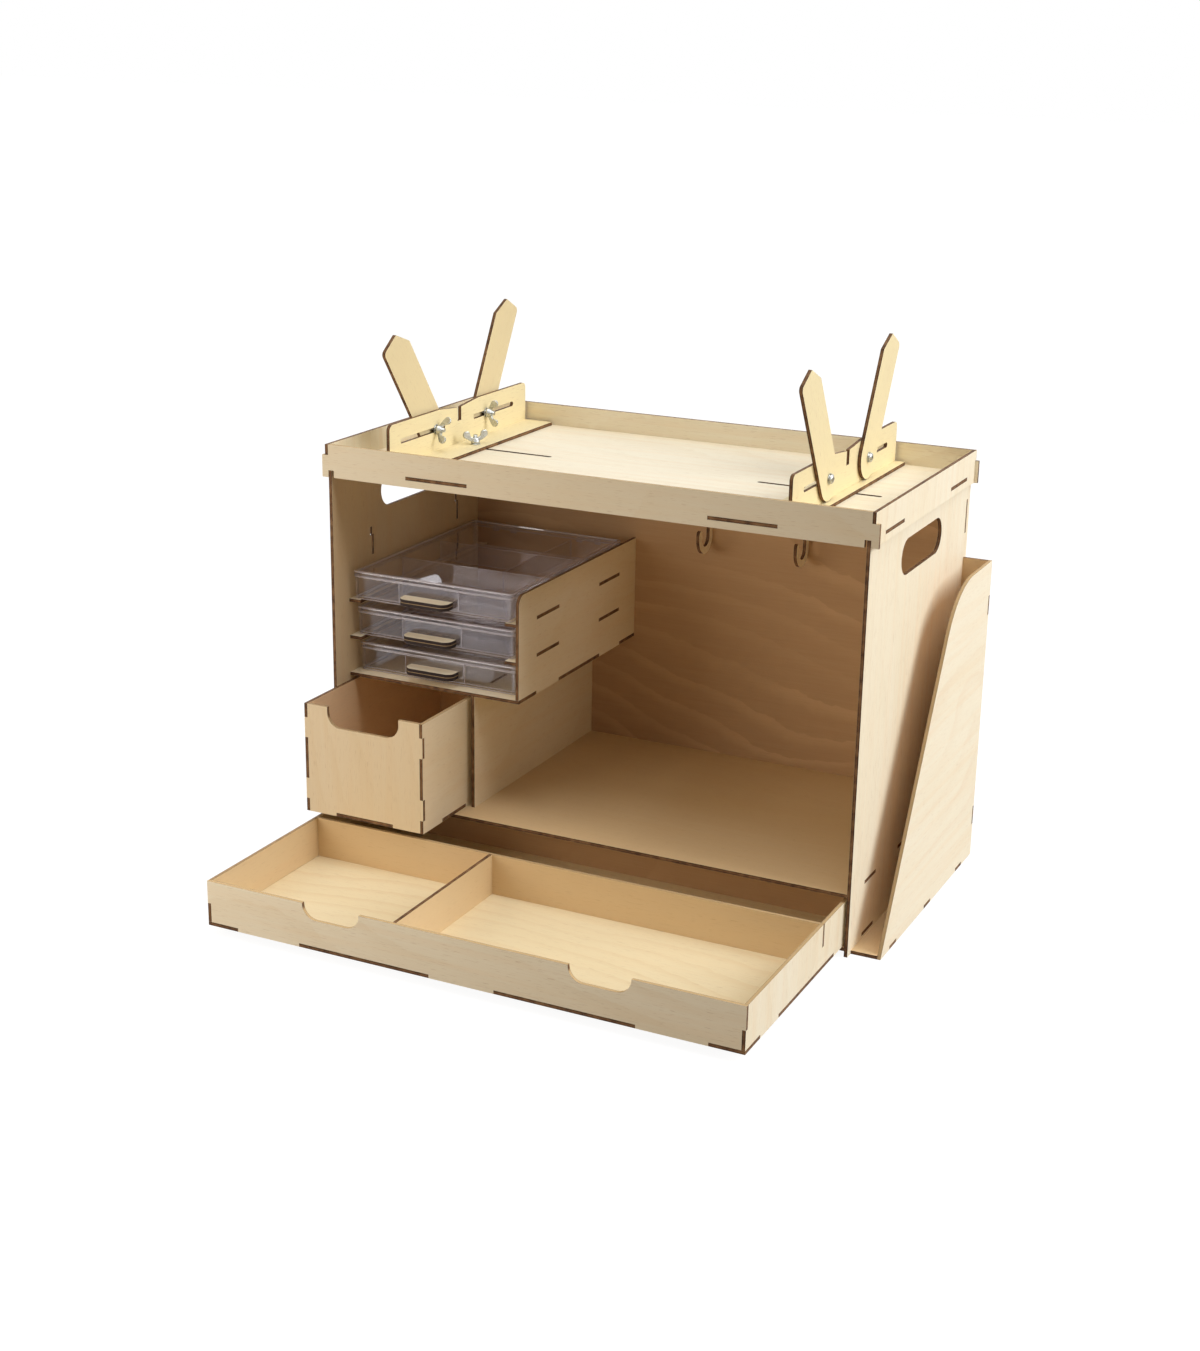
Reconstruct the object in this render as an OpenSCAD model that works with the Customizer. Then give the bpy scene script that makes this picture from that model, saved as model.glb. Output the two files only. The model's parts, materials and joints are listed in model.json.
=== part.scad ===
// Modelling workbench: a slot-together plywood cabinet with two drawers, a rack of
// clear boxes, a drop-on work tray with two keel clamps, and a pocket for plans.
// All sizes are in millimetres. Layout sizes are counted from the front left corner
// of the cabinet, and the finished part is moved so that its origin is on the floor,
// in the middle of the back panel's lower edge.

/* [Boards] */
// Thickness of the plywood
ply = 3; // [2.6:0.1:3.4]
// Gap that the cut leaves round a tab
kerf = 0.1; // [0.05:0.05:0.2]
// Length of the tabs that join the cabinet boards
tab_len = 27; // [18:1:32]
// Gap under and over parts that slide or lift off
slide_gap = 0.2; // [0.1:0.05:0.4]

/* [Cabinet] */
// Width of the cabinet over its side panels
cabinet_w = 480; // [460:1:540]
// Depth of the side panels
cabinet_d = 259; // [254:1:300]
// Height of the side panels
cabinet_h = 342.2; // [325:0.1:380]
// Height of the bottom board above the floor
base_lift = 5; // [3:0.5:8]
// Clear height of the bay for the wide drawer
drawer_bay_h = 43; // [41:0.5:50]
// Clear width of the bay for the small drawer
small_bay_w = 121.5; // [119:0.5:126]
// Clear height of the bay for the small drawer
small_bay_h = 101.5; // [100:0.5:110]
// How far the back panel sits in from the rear edges of the sides
back_inset = 6; // [5:0.5:9]
// How far the divider and the box rack sit back from the front
shelf_setback = 22; // [16:1:24]
// Length of the hand holes
hand_hole_l = 104; // [90:1:120]
// Height of the hand holes
hand_hole_h = 30; // [26:1:34]
// Depth of the hand holes' centre line below the top of the sides
hand_hole_drop = 33; // [30:1:40]

/* [Box rack] */
// Play between the boxes and the rack's sides, both sides together
rack_play = 7.3; // [5:0.1:12]
// Room between one box and the next
rack_room = 7.8; // [6:0.1:10]
// How far the rack side stops below the top box's lid
rack_side_drop = 0.6; // [0:0.1:6]
// Width of the runners that carry the boxes
runner_w = 11; // [8:0.5:14]
// Length of the runner tabs
runner_tab = 41.5; // [30:0.5:50]

/* [Tool hooks] */
// Distance of the first hook from the left side
hook_x = 245; // [225:1:260]
// Step from one hook to the next
hook_step = 93; // [60:1:110]
// Depth of the hook's bend below the top of the sides
hook_drop = 79.2; // [70:0.2:88]
// Width of the hook's opening
hook_gap = 16.4; // [12:0.2:20]
// Width of the hook's arm
hook_arm = 6.5; // [5:0.5:8]

/* [Plastic boxes] */
// Width of a box
box_w = 157; // [150:0.5:160]
// Depth of a box
box_d = 213; // [190:1:216]
// Height of a box with its lid
box_h = 25.5; // [23:0.5:27.5]
// Height of the lid
lid_h = 5; // [4:0.5:6]
// Wall of the box and its dividers
box_wall = 1.6; // [1.2:0.1:2]
// Radius of the box's upright corners
box_r = 5; // [3:0.5:7]
// Length of the wooden pull
pull_l = 47; // [40:1:60]
// How far the pull stands out from the box
pull_d = 13; // [9:0.5:15]

/* [Small drawer] */
// Play of the small drawer in its bay, both sides together
small_play = 5.5; // [3:0.5:9]
// Room behind the small drawer when it is shut
small_rear = 3; // [2:0.5:20]
// Room over the small drawer
small_room = 4; // [3:0.5:10]
// How far the small drawer stands open
small_pull = 73.8; // [40:0.1:110]
// Width of the small drawer's finger notch
small_notch_w = 70; // [60:1:80]
// Depth of the small drawer's finger notch
small_notch_h = 17.5; // [15:0.5:20]

/* [Wide drawer] */
// Play of the wide drawer between the sides, both sides together
wide_play = 7; // [5:0.5:9]
// Room behind the wide drawer when it is shut
wide_rear = 2; // [1.5:0.5:12]
// Room over the wide drawer
wide_room = 4.5; // [3:0.5:8]
// How far the wide drawer stands open
wide_pull = 202; // [120:1:210]
// Distance from the drawer's front to its cross wall
wide_cross = 155; // [140:1:170]
// Distance from the drawer's left side to its divider
wide_split = 172; // [165:1:178]
// Width of the wide drawer's finger notches
wide_notch_w = 52; // [44:1:60]
// Depth of the wide drawer's finger notches
wide_notch_h = 13; // [11:0.5:15]

/* [Tray] */
// Height of the tray's rims
rim_h = 28; // [26:0.5:34]
// How far the rims hang below the tray floor
rim_drop = 6; // [5:0.5:7]
// Height of the lower part of the rim joint at the corners
rim_joint_h = 19; // [17:0.5:21]
// How far the ends of the front and back rims stand out at the sides
rim_ear = 3; // [2:0.5:4]
// Length of the clamp slots in the tray floor
tray_slot_l = 108; // [100:1:112]
// Distance of the clamp slots from the sides of the cabinet
tray_slot_x = 36; // [32:1:38]

/* [Keel clamps] */
// Room between a clamp's ends and the rims
clamp_room = 3.5; // [3:0.5:8]
// Width of the base plate on the arm side of its bolt
clamp_arm_side = 28; // [27:0.5:29]
// Width of the base plate on the other side of its bolt
clamp_nut_side = 12; // [10:0.5:14]
// Distance from the base bolt to the fence
fence_x = 16; // [14.5:0.5:17]
// Height of the fence over its base plate
fence_h = 34.7; // [33.5:0.1:38]
// Width of the arms
arm_w = 36; // [30:0.5:36]
// How far the left clamp's fence stops short of its base plate at the front
left_fence_trim = 6.5; // [0:0.5:8]
// Length of the arms from the bolt to the tip
arm_l = 106; // [95:1:115]
// Distance of the left clamp's bolt from the left side of the cabinet
left_clamp_x = 68.5; // [65:0.5:90]
// Distance of the right clamp's bolt from the right side of the cabinet
right_clamp_x = 85.5; // [80:0.5:100]
// Lean of the left clamp's front arm
left_front_lean = 36; // [0:1:45]
// Lean of the left clamp's back arm
left_back_lean = 28; // [0:1:45]
// Lean of the right clamp's front arm
right_front_lean = 31; // [0:1:45]
// Lean of the right clamp's back arm
right_back_lean = 28; // [0:1:45]
// Distance of the left clamp's front arm bolt from the middle of the fence
left_front_bolt_y = 40.5; // [32:0.5:60]
// Distance of the left clamp's back arm bolt from the middle of the fence
left_back_bolt_y = 48; // [32:0.5:60]
// Distance of the right clamp's front arm bolt from the middle of the fence
right_front_bolt_y = 51.5; // [32:0.5:60]
// Distance of the right clamp's back arm bolt from the middle of the fence
right_back_bolt_y = 41.5; // [32:0.5:60]

/* [Fasteners] */
// Diameter of the bolts
bolt_d = 4; // [3.8:0.1:4.1]
// Diameter of the bolt heads
head_d = 8; // [7:0.5:9]
// Height of the bolt heads
head_h = 2.6; // [2:0.1:3]
// Diameter of the washers
washer_d = 9; // [8:0.5:10]
// Thickness of the washers
washer_t = 0.8; // [0.6:0.1:1]
// Diameter of the wing nut's hub
hub_d = 8; // [7:0.5:9]
// Height of the wing nut's hub
hub_h = 5; // [4:0.5:6]
// Span of the wing nut over its wings
wing_span = 24; // [20:0.5:25]

/* [Plans pocket] */
// Clear width of the pocket
pocket_gap = 22; // [16:0.5:30]
// Depth of the pocket
pocket_d = 246; // [230:1:248]
// Height of the pocket
pocket_h = 271.5; // [250:0.5:272]
// Distance from the front to where the slope would reach the top
pocket_slope = 149.5; // [130:0.5:155]
// Radius of the shoulder
pocket_r = 72; // [50:1:75]
// Distance of the pocket's back from the rear edge of the cabinet
pocket_rear = 5; // [4:1:8]

/* [Hidden] */
$fn = 48;
over = 1;
birch = [0.93, 0.85, 0.68];
clamp_birch = [0.93, 0.83, 0.60];
clear_plastic = [0.75, 0.73, 0.80, 0.45];
zinc = [0.80, 0.81, 0.83];

base_top = base_lift + ply;
deck_z = base_top + drawer_bay_h;
deck_top = deck_z + ply;
rack_floor_z = deck_top + small_bay_h;
back_y = cabinet_d - back_inset - ply;
bay_x = ply + small_bay_w;
rack_w = box_w + rack_play;
rack_x = ply + rack_w;
rack_pitch = box_h + rack_room;
rack_side_h = 2 * rack_pitch + ply + box_h - rack_side_drop;
shelf_mid = (shelf_setback + back_y) / 2;
shelf_d = back_y - shelf_setback;
side_tab_y = [0.18 * cabinet_d, 0.5 * cabinet_d, 0.82 * cabinet_d];
back_tab_x = [0.2 * cabinet_w, 0.5 * cabinet_w, 0.8 * cabinet_w];
back_tab_z = [0.13 * cabinet_h, 0.5 * cabinet_h, 0.9 * cabinet_h];
back_tab_len = 29;
rack_tab_y = [shelf_mid - 0.267 * shelf_d, shelf_mid + 0.259 * shelf_d];
divider_tab_y = [shelf_mid - 0.3 * shelf_d, shelf_mid + 0.3 * shelf_d];
rack_finger_end = 32;
rack_finger_mid = 80;
rack_corner_r = 9;
spare_slot_h = 25;
spare_slot_y = [0.241 * cabinet_d, 0.813 * cabinet_d];
spare_slot_z = cabinet_h - 86.2;
spare_slot_step = [7, 2.5];
hook_z = cabinet_h - hook_drop;
hook_tab = 8;
hook_leg = 37;
hook_tip = 5;

tray_floor_z = cabinet_h + slide_gap;
tray_top = tray_floor_z + ply;
rim_z = tray_floor_z - rim_drop;
rim_top = rim_z + rim_h;
rim_split = rim_z + rim_joint_h;
rim_in = slide_gap;
rim_out = slide_gap + ply;
rim_tab_l = 58;
rim_tab_x = [0.217 * cabinet_w, 0.783 * cabinet_w];
rim_side_tab = 45;
rim_side_tab_y = [0.18 * cabinet_d, 0.82 * cabinet_d];
rim_notch_play = 2.3;
slot_play = 0.3;
slot_w = bolt_d + slot_play;

small_side_gap = 0.8;
small_w = small_bay_w - small_play;
small_h = small_bay_h - small_room;
small_d = shelf_d - small_rear;
small_x = ply + small_side_gap;
small_y = shelf_setback - small_pull;
small_z = deck_top + slide_gap;
small_bands = [[0.118 * small_h, 0.308 * small_h], [0.687 * small_h, 0.872 * small_h]];
small_bottom_tab = 56;
small_side_tab = 40;
small_side_tab_y = [small_y + 0.23 * small_d, small_y + 0.77 * small_d];
notch_r = 12.5;

wide_side_gap = 2;
wide_w = cabinet_w - 2 * ply - wide_play;
wide_d = back_y - wide_rear;
wide_h = drawer_bay_h - wide_room;
wide_x = cabinet_w - ply - wide_side_gap - wide_w;
wide_y = -wide_pull;
wide_z = base_top + slide_gap;
wide_corner = 28.5;
wide_long_tab = 118;
wide_tab_x = [wide_x + 0.3126 * wide_w, wide_x + 0.6874 * wide_w];
wide_notch_x = [wide_x + wide_w / 4, wide_x + wide_w * 3 / 4];
wide_tab_y = wide_y + wide_d / 2;
cross_y = wide_y + wide_cross;

box_x = ply + (rack_w - box_w) / 2;
box_push = [9, 5, 0];
tub_h = box_h - lid_h;
lid_gap = 0.1;
box_cross = [0.375 * box_d, 0.69 * box_d];
box_split = 0.67 * box_w;
pull_t = 2 * ply;
pull_z = [7.2, 3.6, 4.7];
pull_off = -2.3;
lid_lip = 1;
pull_r = 7;
knuckle_r = 1.5;
knuckle_l = 12;
knuckle_gap = 0.3;
hinge_pin_r = 0.7;
hinge_pin_play = 0.05;
hinge_leaf_h = 3;
hinge_x = [box_x + 0.22 * box_w, box_x + 0.78 * box_w];
hinge_end = knuckle_l + knuckle_gap;
lid_knuckles = [[-knuckle_l / 2, knuckle_l / 2]];
tub_knuckles = [[-hinge_end, -hinge_end + knuckle_l / 2], [hinge_end - knuckle_l / 2, hinge_end]];

plate_z = tray_top + slide_gap;
plate_top = plate_z + ply;
clamp_y = cabinet_d / 2;
clamp_l = cabinet_d - 2 * ply - 2 * clamp_room;
right_clamp_at = cabinet_w - right_clamp_x;
bolt_play = 0.1;
washer_play = 0.2;
arm_gap = 0.3;
arm_foot = 0.6;
arm_cut_w = 13;
arm_cut_h = 18.5;
arm_shoulder_r = 4;
arm_bolt_z = plate_top + arm_w / 2 + arm_foot;
fence_tab = 30;
fence_tab_y = [-0.325 * clamp_l, 0, 0.325 * clamp_l];
fence_notch_w = 6.5;
fence_notch_h = 19.6;
fence_dip = 3.2;
fence_dip_l = 0.14 * clamp_l;
fence_slot_in = 25;
fence_slot_end = 24;
fence_slot_out = clamp_l / 2 - fence_slot_end;
fence_corner_r = 5;
thread_end = 2.5;

pocket_x = cabinet_w + pocket_gap;
pocket_y = cabinet_d - pocket_rear - pocket_d;
pocket_tab = 17;
pocket_tab_y = [0.124 * pocket_d, 0.488 * pocket_d, 0.85 * pocket_d];
pocket_back_tab_z = [0.14 * pocket_h, 0.855 * pocket_h];

// Helpers

// Moves the layout so that the origin is the middle of the back panel's lower edge
module placed() {
    translate([-cabinet_w / 2, -back_y - ply / 2, 0])
        children();
}

// Rectangle between two coordinates on each axis
module rect(u0, u1, v0, v1) {
    translate([u0, v0])
        square([u1 - u0, v1 - v0]);
}

// Board that faces left and right: the outline is drawn in depth and height
module board_x(x, t = ply) {
    translate([x, 0, 0])
        rotate([90, 0, 90])
            linear_extrude(t)
                children();
}

// Board that faces front and back: the outline is drawn in width and height
module board_y(y, t = ply) {
    translate([0, y + t, 0])
        rotate([90, 0, 0])
            linear_extrude(t)
                children();
}

// Board that lies flat: the outline is drawn in width and depth
module board_z(z, t = ply) {
    translate([0, 0, z])
        linear_extrude(t)
            children();
}

// Cuts a round corner of radius r at a point; side_u and side_v point into the board
module corner_cut(u, v, r, side_u, side_v) {
    translate([u, v])
        mirror([side_u < 0 ? 1 : 0, 0])
            mirror([0, side_v < 0 ? 1 : 0])
                difference() {
                    translate([-over, -over])
                        square(r + over);
                    translate([r, r])
                        circle(r);
                }
}

// Rectangle with four round corners
module round_rect(u0, u1, v0, v1, r) {
    rect(u0 + r, u1 - r, v0, v1);
    rect(u0, u1, v0 + r, v1 - r);
    for (u = [u0 + r, u1 - r], v = [v0 + r, v1 - r])
        translate([u, v])
            circle(r);
}

// Slot with round ends along the first axis
module long_slot(u0, u1, v, w) {
    rect(u0 + w / 2, u1 - w / 2, v - w / 2, v + w / 2);
    for (u = [u0 + w / 2, u1 - w / 2])
        translate([u, v])
            circle(w / 2);
}

// Finger notch hanging from the top edge v, with round lower corners
module finger_notch(u, v, w, h) {
    difference() {
        rect(u - w / 2, u + w / 2, v - h, v + over);
        corner_cut(u - w / 2, v - h, notch_r, 1, 1);
        corner_cut(u + w / 2, v - h, notch_r, -1, 1);
    }
}

// Cabinet

// Slots that every side panel has, for the base, the deck and the back
module side_slots() {
    for (y = side_tab_y, z = [base_lift, deck_z])
        rect(y - tab_len / 2 - kerf, y + tab_len / 2 + kerf, z - kerf, z + ply + kerf);
    for (z = back_tab_z)
        rect(back_y - kerf, back_y + ply + kerf,
             z - back_tab_len / 2 - kerf, z + back_tab_len / 2 + kerf);
    hand_hole_z = cabinet_h - hand_hole_drop;
    long_slot(cabinet_d / 2 - hand_hole_l / 2, cabinet_d / 2 + hand_hole_l / 2,
              hand_hole_z, hand_hole_h);
}

// Slots for the tabs of the two levels of runners
module runner_slots() {
    for (y = rack_tab_y, level = [1, 2]) {
        z = runner_z(level);
        rect(y - runner_tab / 2 - kerf, y + runner_tab / 2 + kerf, z - kerf, z + ply + kerf);
    }
}

function runner_z(level) = rack_floor_z + level * rack_pitch;

module left_side_panel() {
    color(birch)
        placed()
            board_x(0)
                difference() {
                    rect(0, cabinet_d, 0, cabinet_h);
                    side_slots();
                    runner_slots();
                    for (y = rack_tab_y)
                        rect(y - tab_len / 2 - kerf, y + tab_len / 2 + kerf,
                             rack_floor_z - kerf, rack_floor_z + ply + kerf);
                    for (y = spare_slot_y) {
                        top = spare_slot_z + spare_slot_h;
                        step_z = top - spare_slot_step[0];
                        shift = spare_slot_step[1];
                        rect(y - ply / 2, y + ply / 2, spare_slot_z, step_z);
                        rect(y - ply / 2 - shift, y + ply / 2 - shift, step_z - over, top);
                    }
                }
}

module right_side_panel() {
    color(birch)
        placed()
            board_x(cabinet_w - ply)
                difference() {
                    rect(0, cabinet_d, 0, cabinet_h);
                    side_slots();
                }
}

module back_panel() {
    color(birch)
        placed()
            board_y(back_y)
                difference() {
                    union() {
                        rect(ply, cabinet_w - ply, 0, cabinet_h);
                        for (z = back_tab_z)
                            rect(0, cabinet_w, z - back_tab_len / 2, z + back_tab_len / 2);
                    }
                    for (x = back_tab_x, z = [base_lift, deck_z])
                        rect(x - tab_len / 2 - kerf, x + tab_len / 2 + kerf,
                             z - kerf, z + ply + kerf);
                    for (x = [bay_x, rack_x])
                        rect(x - kerf, x + ply + kerf,
                             rear_tab_z(x) - kerf, rear_tab_z(x) + tab_len + kerf);
                    for (i = [0, 1], z = hook_tab_z()) {
                        x = hook_x + i * hook_step;
                        rect(x - ply / 2 - kerf, x + ply / 2 + kerf,
                             z - kerf, z + hook_tab + kerf);
                    }
                }
}

// Lower end of the tab that the divider and the rack side have in the back panel
function rear_tab_z(x) = x == bay_x
    ? (deck_top + rack_floor_z - tab_len) / 2
    : rack_floor_z + (rack_side_h - tab_len) / 2;

function hook_tab_z() = [hook_z + 6, hook_z + hook_leg - hook_tab - 4];

module base_panel() {
    color(birch)
        placed()
            board_z(base_lift)
                shelf_outline();
}

// Outline that the base and the deck share, with tabs into the sides and the back
module shelf_outline() {
    rect(ply, cabinet_w - ply, 0, back_y);
    for (y = side_tab_y)
        rect(0, cabinet_w, y - tab_len / 2, y + tab_len / 2);
    for (x = back_tab_x)
        rect(x - tab_len / 2, x + tab_len / 2, back_y - over, back_y + ply);
}

module deck_panel() {
    color(birch)
        placed()
            board_z(deck_z)
                difference() {
                    shelf_outline();
                    for (y = divider_tab_y)
                        rect(bay_x - kerf, bay_x + ply + kerf,
                             y - tab_len / 2 - kerf, y + tab_len / 2 + kerf);
                }
}

module bay_divider() {
    tab_z = rear_tab_z(bay_x);
    color(birch)
        placed()
            board_x(bay_x) {
                rect(shelf_setback, back_y, deck_top, rack_floor_z);
                for (y = divider_tab_y)
                    rect(y - tab_len / 2, y + tab_len / 2, deck_z, rack_floor_z + ply);
                rect(back_y - over, back_y + ply, tab_z, tab_z + tab_len);
            }
}

// Spans of the finger joint between the rack's floor and side, front to back
function rack_fingers() = [
    [shelf_setback, shelf_setback + rack_finger_end],
    [shelf_mid - rack_finger_mid / 2, shelf_mid + rack_finger_mid / 2],
    [back_y - rack_finger_end, back_y]
];

module rack_floor() {
    color(birch)
        placed()
            board_z(rack_floor_z)
                difference() {
                    union() {
                        rect(ply, rack_x, shelf_setback, back_y);
                        for (span = rack_fingers())
                            rect(rack_x - over, rack_x + ply, span[0], span[1]);
                        for (y = rack_tab_y)
                            rect(0, ply + over, y - tab_len / 2, y + tab_len / 2);
                    }
                    for (y = divider_tab_y)
                        rect(bay_x - kerf, bay_x + ply + kerf,
                             y - tab_len / 2 - kerf, y + tab_len / 2 + kerf);
                }
}

module rack_side_panel() {
    top = rack_floor_z + rack_side_h;
    tab_z = rear_tab_z(rack_x);
    color(birch)
        placed()
            board_x(rack_x)
                difference() {
                    union() {
                        rect(shelf_setback, back_y, rack_floor_z, top);
                        rect(back_y - over, back_y + ply, tab_z, tab_z + tab_len);
                    }
                    for (span = rack_fingers())
                        rect(span[0] - kerf, span[1] + kerf,
                             rack_floor_z - over, rack_floor_z + ply + kerf);
                    runner_slots();
                    corner_cut(shelf_setback, top, rack_corner_r, 1, -1);
                }
}

module box_runners() {
    color(birch)
        placed()
            for (level = [1, 2])
                board_z(runner_z(level)) {
                    rect(ply, ply + runner_w, shelf_setback + over, back_y);
                    rect(rack_x - runner_w, rack_x, shelf_setback + over, back_y);
                    for (y = rack_tab_y) {
                        rect(0, ply + over, y - runner_tab / 2, y + runner_tab / 2);
                        rect(rack_x - over, rack_x + ply,
                             y - runner_tab / 2, y + runner_tab / 2);
                    }
                }
}

module tool_hooks() {
    color(birch)
        placed()
            for (i = [0, 1])
                board_x(hook_x + i * hook_step - ply / 2)
                    hook_outline();
}

module hook_outline() {
    r_in = hook_gap / 2;
    r_out = r_in + hook_arm;
    y_mid = back_y - r_out;
    difference() {
        translate([y_mid, hook_z])
            circle(r_out);
        translate([y_mid, hook_z])
            circle(r_in);
        rect(y_mid - r_out - over, back_y + over, hook_z, hook_z + r_out + over);
    }
    rect(back_y - hook_arm, back_y, hook_z, hook_z + hook_leg);
    for (z = hook_tab_z())
        rect(back_y - over, back_y + ply, z, z + hook_tab);
    rect(y_mid - r_out, y_mid - r_in, hook_z, hook_z + hook_tip);
    translate([y_mid - r_in - hook_arm / 2, hook_z + hook_tip])
        circle(hook_arm / 2);
}

// Pocket for plans on the right side

module pocket_outer_panel() {
    slope = atan2(pocket_h, pocket_slope);
    tangent = pocket_r * tan(slope / 2);
    corner = [pocket_slope, pocket_h];
    low = corner - tangent * [cos(slope), sin(slope)];
    high = corner + [tangent, 0];
    color(birch)
        placed()
            board_x(pocket_x)
                translate([pocket_y, 0])
                    difference() {
                        polygon([[0, 0], [pocket_d, 0], [pocket_d, pocket_h], corner]);
                        difference() {
                            polygon([low, high, corner + [0, over], low + [-over, over]]);
                            translate(high - [0, pocket_r])
                                circle(pocket_r, $fn = 96);
                        }
                        for (y = pocket_tab_y)
                            rect(y - pocket_tab / 2 - kerf, y + pocket_tab / 2 + kerf,
                                 -over, ply + kerf);
                        for (z = pocket_back_tab_z)
                            rect(pocket_d - ply - kerf, pocket_d + over,
                                 z - pocket_tab / 2 - kerf, z + pocket_tab / 2 + kerf);
                    }
}

module pocket_back_plate() {
    color(birch)
        placed()
            board_y(pocket_y + pocket_d - ply) {
                rect(cabinet_w, pocket_x, 0, pocket_h);
                for (z = pocket_back_tab_z)
                    rect(pocket_x - over, pocket_x + ply,
                         z - pocket_tab / 2, z + pocket_tab / 2);
            }
}

module pocket_floor_plate() {
    color(birch)
        placed()
            board_z(0) {
                rect(cabinet_w, pocket_x, pocket_y, pocket_y + pocket_d - ply);
                for (y = pocket_tab_y)
                    rect(pocket_x - over, pocket_x + ply,
                         pocket_y + y - pocket_tab / 2, pocket_y + y + pocket_tab / 2);
            }
}

// Tray

module tray_floor() {
    color(birch)
        placed()
            board_z(tray_floor_z)
                difference() {
                    union() {
                        rect(-rim_in, cabinet_w + rim_in, ply, cabinet_d - ply);
                        for (x = rim_tab_x)
                            rect(x - rim_tab_l / 2, x + rim_tab_l / 2, 0, cabinet_d);
                        for (y = rim_side_tab_y)
                            rect(-rim_out, cabinet_w + rim_out,
                                 y - rim_side_tab / 2, y + rim_side_tab / 2);
                    }
                    for (x = [tray_slot_x, cabinet_w - tray_slot_x - tray_slot_l])
                        long_slot(x, x + tray_slot_l, clamp_y, slot_w);
                }
}

// Outline of the front and back rims, notched where the cabinet sides rise into them
module long_rim() {
    notch_w = ply + rim_notch_play;
    difference() {
        union() {
            rect(-rim_out - rim_ear, cabinet_w + rim_out + rim_ear, rim_z, rim_split);
            rect(-rim_in, cabinet_w + rim_in, rim_split - over, rim_top);
        }
        for (x = rim_tab_x)
            rect(x - rim_tab_l / 2 - kerf, x + rim_tab_l / 2 + kerf,
                 tray_floor_z - kerf, tray_top + kerf);
        for (x = [-rim_in, cabinet_w + rim_in - notch_w])
            rect(x, x + notch_w, rim_z - over, tray_floor_z);
    }
}

// Outline of the side rims, whose upper ends lap over the long rims
module short_rim() {
    difference() {
        union() {
            rect(0, cabinet_d, rim_split + kerf, rim_top);
            rect(ply, cabinet_d - ply, rim_z, rim_top);
        }
        for (y = rim_side_tab_y)
            rect(y - rim_side_tab / 2 - kerf, y + rim_side_tab / 2 + kerf,
                 tray_floor_z - kerf, tray_top + kerf);
    }
}

module tray_front_rim() {
    color(birch)
        placed()
            board_y(0)
                long_rim();
}

module tray_back_rim() {
    color(birch)
        placed()
            board_y(cabinet_d - ply)
                long_rim();
}

module tray_left_rim() {
    color(birch)
        placed()
            board_x(-rim_out)
                short_rim();
}

module tray_right_rim() {
    color(birch)
        placed()
            board_x(cabinet_w + rim_in)
                short_rim();
}

// Small drawer

// Outline of the small drawer's front and back, with tabs at both ends
module small_end() {
    difference() {
        union() {
            rect(small_x + ply, small_x + small_w - ply, small_z, small_z + small_h);
            for (band = small_bands)
                rect(small_x, small_x + small_w, small_z + band[0], small_z + band[1]);
        }
        small_mid = small_x + small_w / 2;
        rect(small_mid - small_bottom_tab / 2 - kerf, small_mid + small_bottom_tab / 2 + kerf,
             small_z - over, small_z + ply + kerf);
    }
}

module small_drawer_front() {
    color(birch)
        placed()
            board_y(small_y)
                difference() {
                    small_end();
                    finger_notch(small_x + small_w / 2, small_z + small_h,
                                 small_notch_w, small_notch_h);
                }
}

module small_drawer_back() {
    color(birch)
        placed()
            board_y(small_y + small_d - ply)
                small_end();
}

module small_side() {
    difference() {
        rect(small_y, small_y + small_d, small_z, small_z + small_h);
        for (band = small_bands, y = [small_y, small_y + small_d - ply])
            rect(y - (y == small_y ? over : kerf), y + ply + (y == small_y ? kerf : over),
                 small_z + band[0] - kerf, small_z + band[1] + kerf);
        for (y = small_side_tab_y)
            rect(y - small_side_tab / 2 - kerf, y + small_side_tab / 2 + kerf,
                 small_z - over, small_z + ply + kerf);
    }
}

module small_drawer_left_side() {
    color(birch)
        placed()
            board_x(small_x)
                small_side();
}

module small_drawer_right_side() {
    color(birch)
        placed()
            board_x(small_x + small_w - ply)
                small_side();
}

module small_drawer_bottom() {
    small_mid = small_x + small_w / 2;
    color(birch)
        placed()
            board_z(small_z) {
                rect(small_x + ply, small_x + small_w - ply,
                     small_y + ply, small_y + small_d - ply);
                rect(small_mid - small_bottom_tab / 2, small_mid + small_bottom_tab / 2,
                     small_y, small_y + small_d);
                for (y = small_side_tab_y)
                    rect(small_x, small_x + small_w,
                         y - small_side_tab / 2, y + small_side_tab / 2);
            }
}

// Wide drawer

// Outline of the wide drawer's front and back
module wide_end() {
    difference() {
        union() {
            rect(wide_x + ply, wide_x + wide_w - ply, wide_z, wide_z + wide_h);
            rect(wide_x, wide_x + wide_w, wide_z + wide_h / 2, wide_z + wide_h);
        }
        for (x = wide_tab_x)
            rect(x - wide_long_tab / 2 - kerf, x + wide_long_tab / 2 + kerf,
                 wide_z - over, wide_z + ply + kerf);
        for (x = [wide_x - over, wide_x + wide_w - wide_corner - kerf])
            rect(x, x + wide_corner + over + kerf, wide_z - over, wide_z + ply + kerf);
    }
}

module wide_drawer_front() {
    color(birch)
        placed()
            board_y(wide_y)
                difference() {
                    wide_end();
                    for (x = wide_notch_x)
                        finger_notch(x, wide_z + wide_h, wide_notch_w, wide_notch_h);
                }
}

module wide_drawer_back() {
    color(birch)
        placed()
            board_y(wide_y + wide_d - ply)
                wide_end();
}

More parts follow.
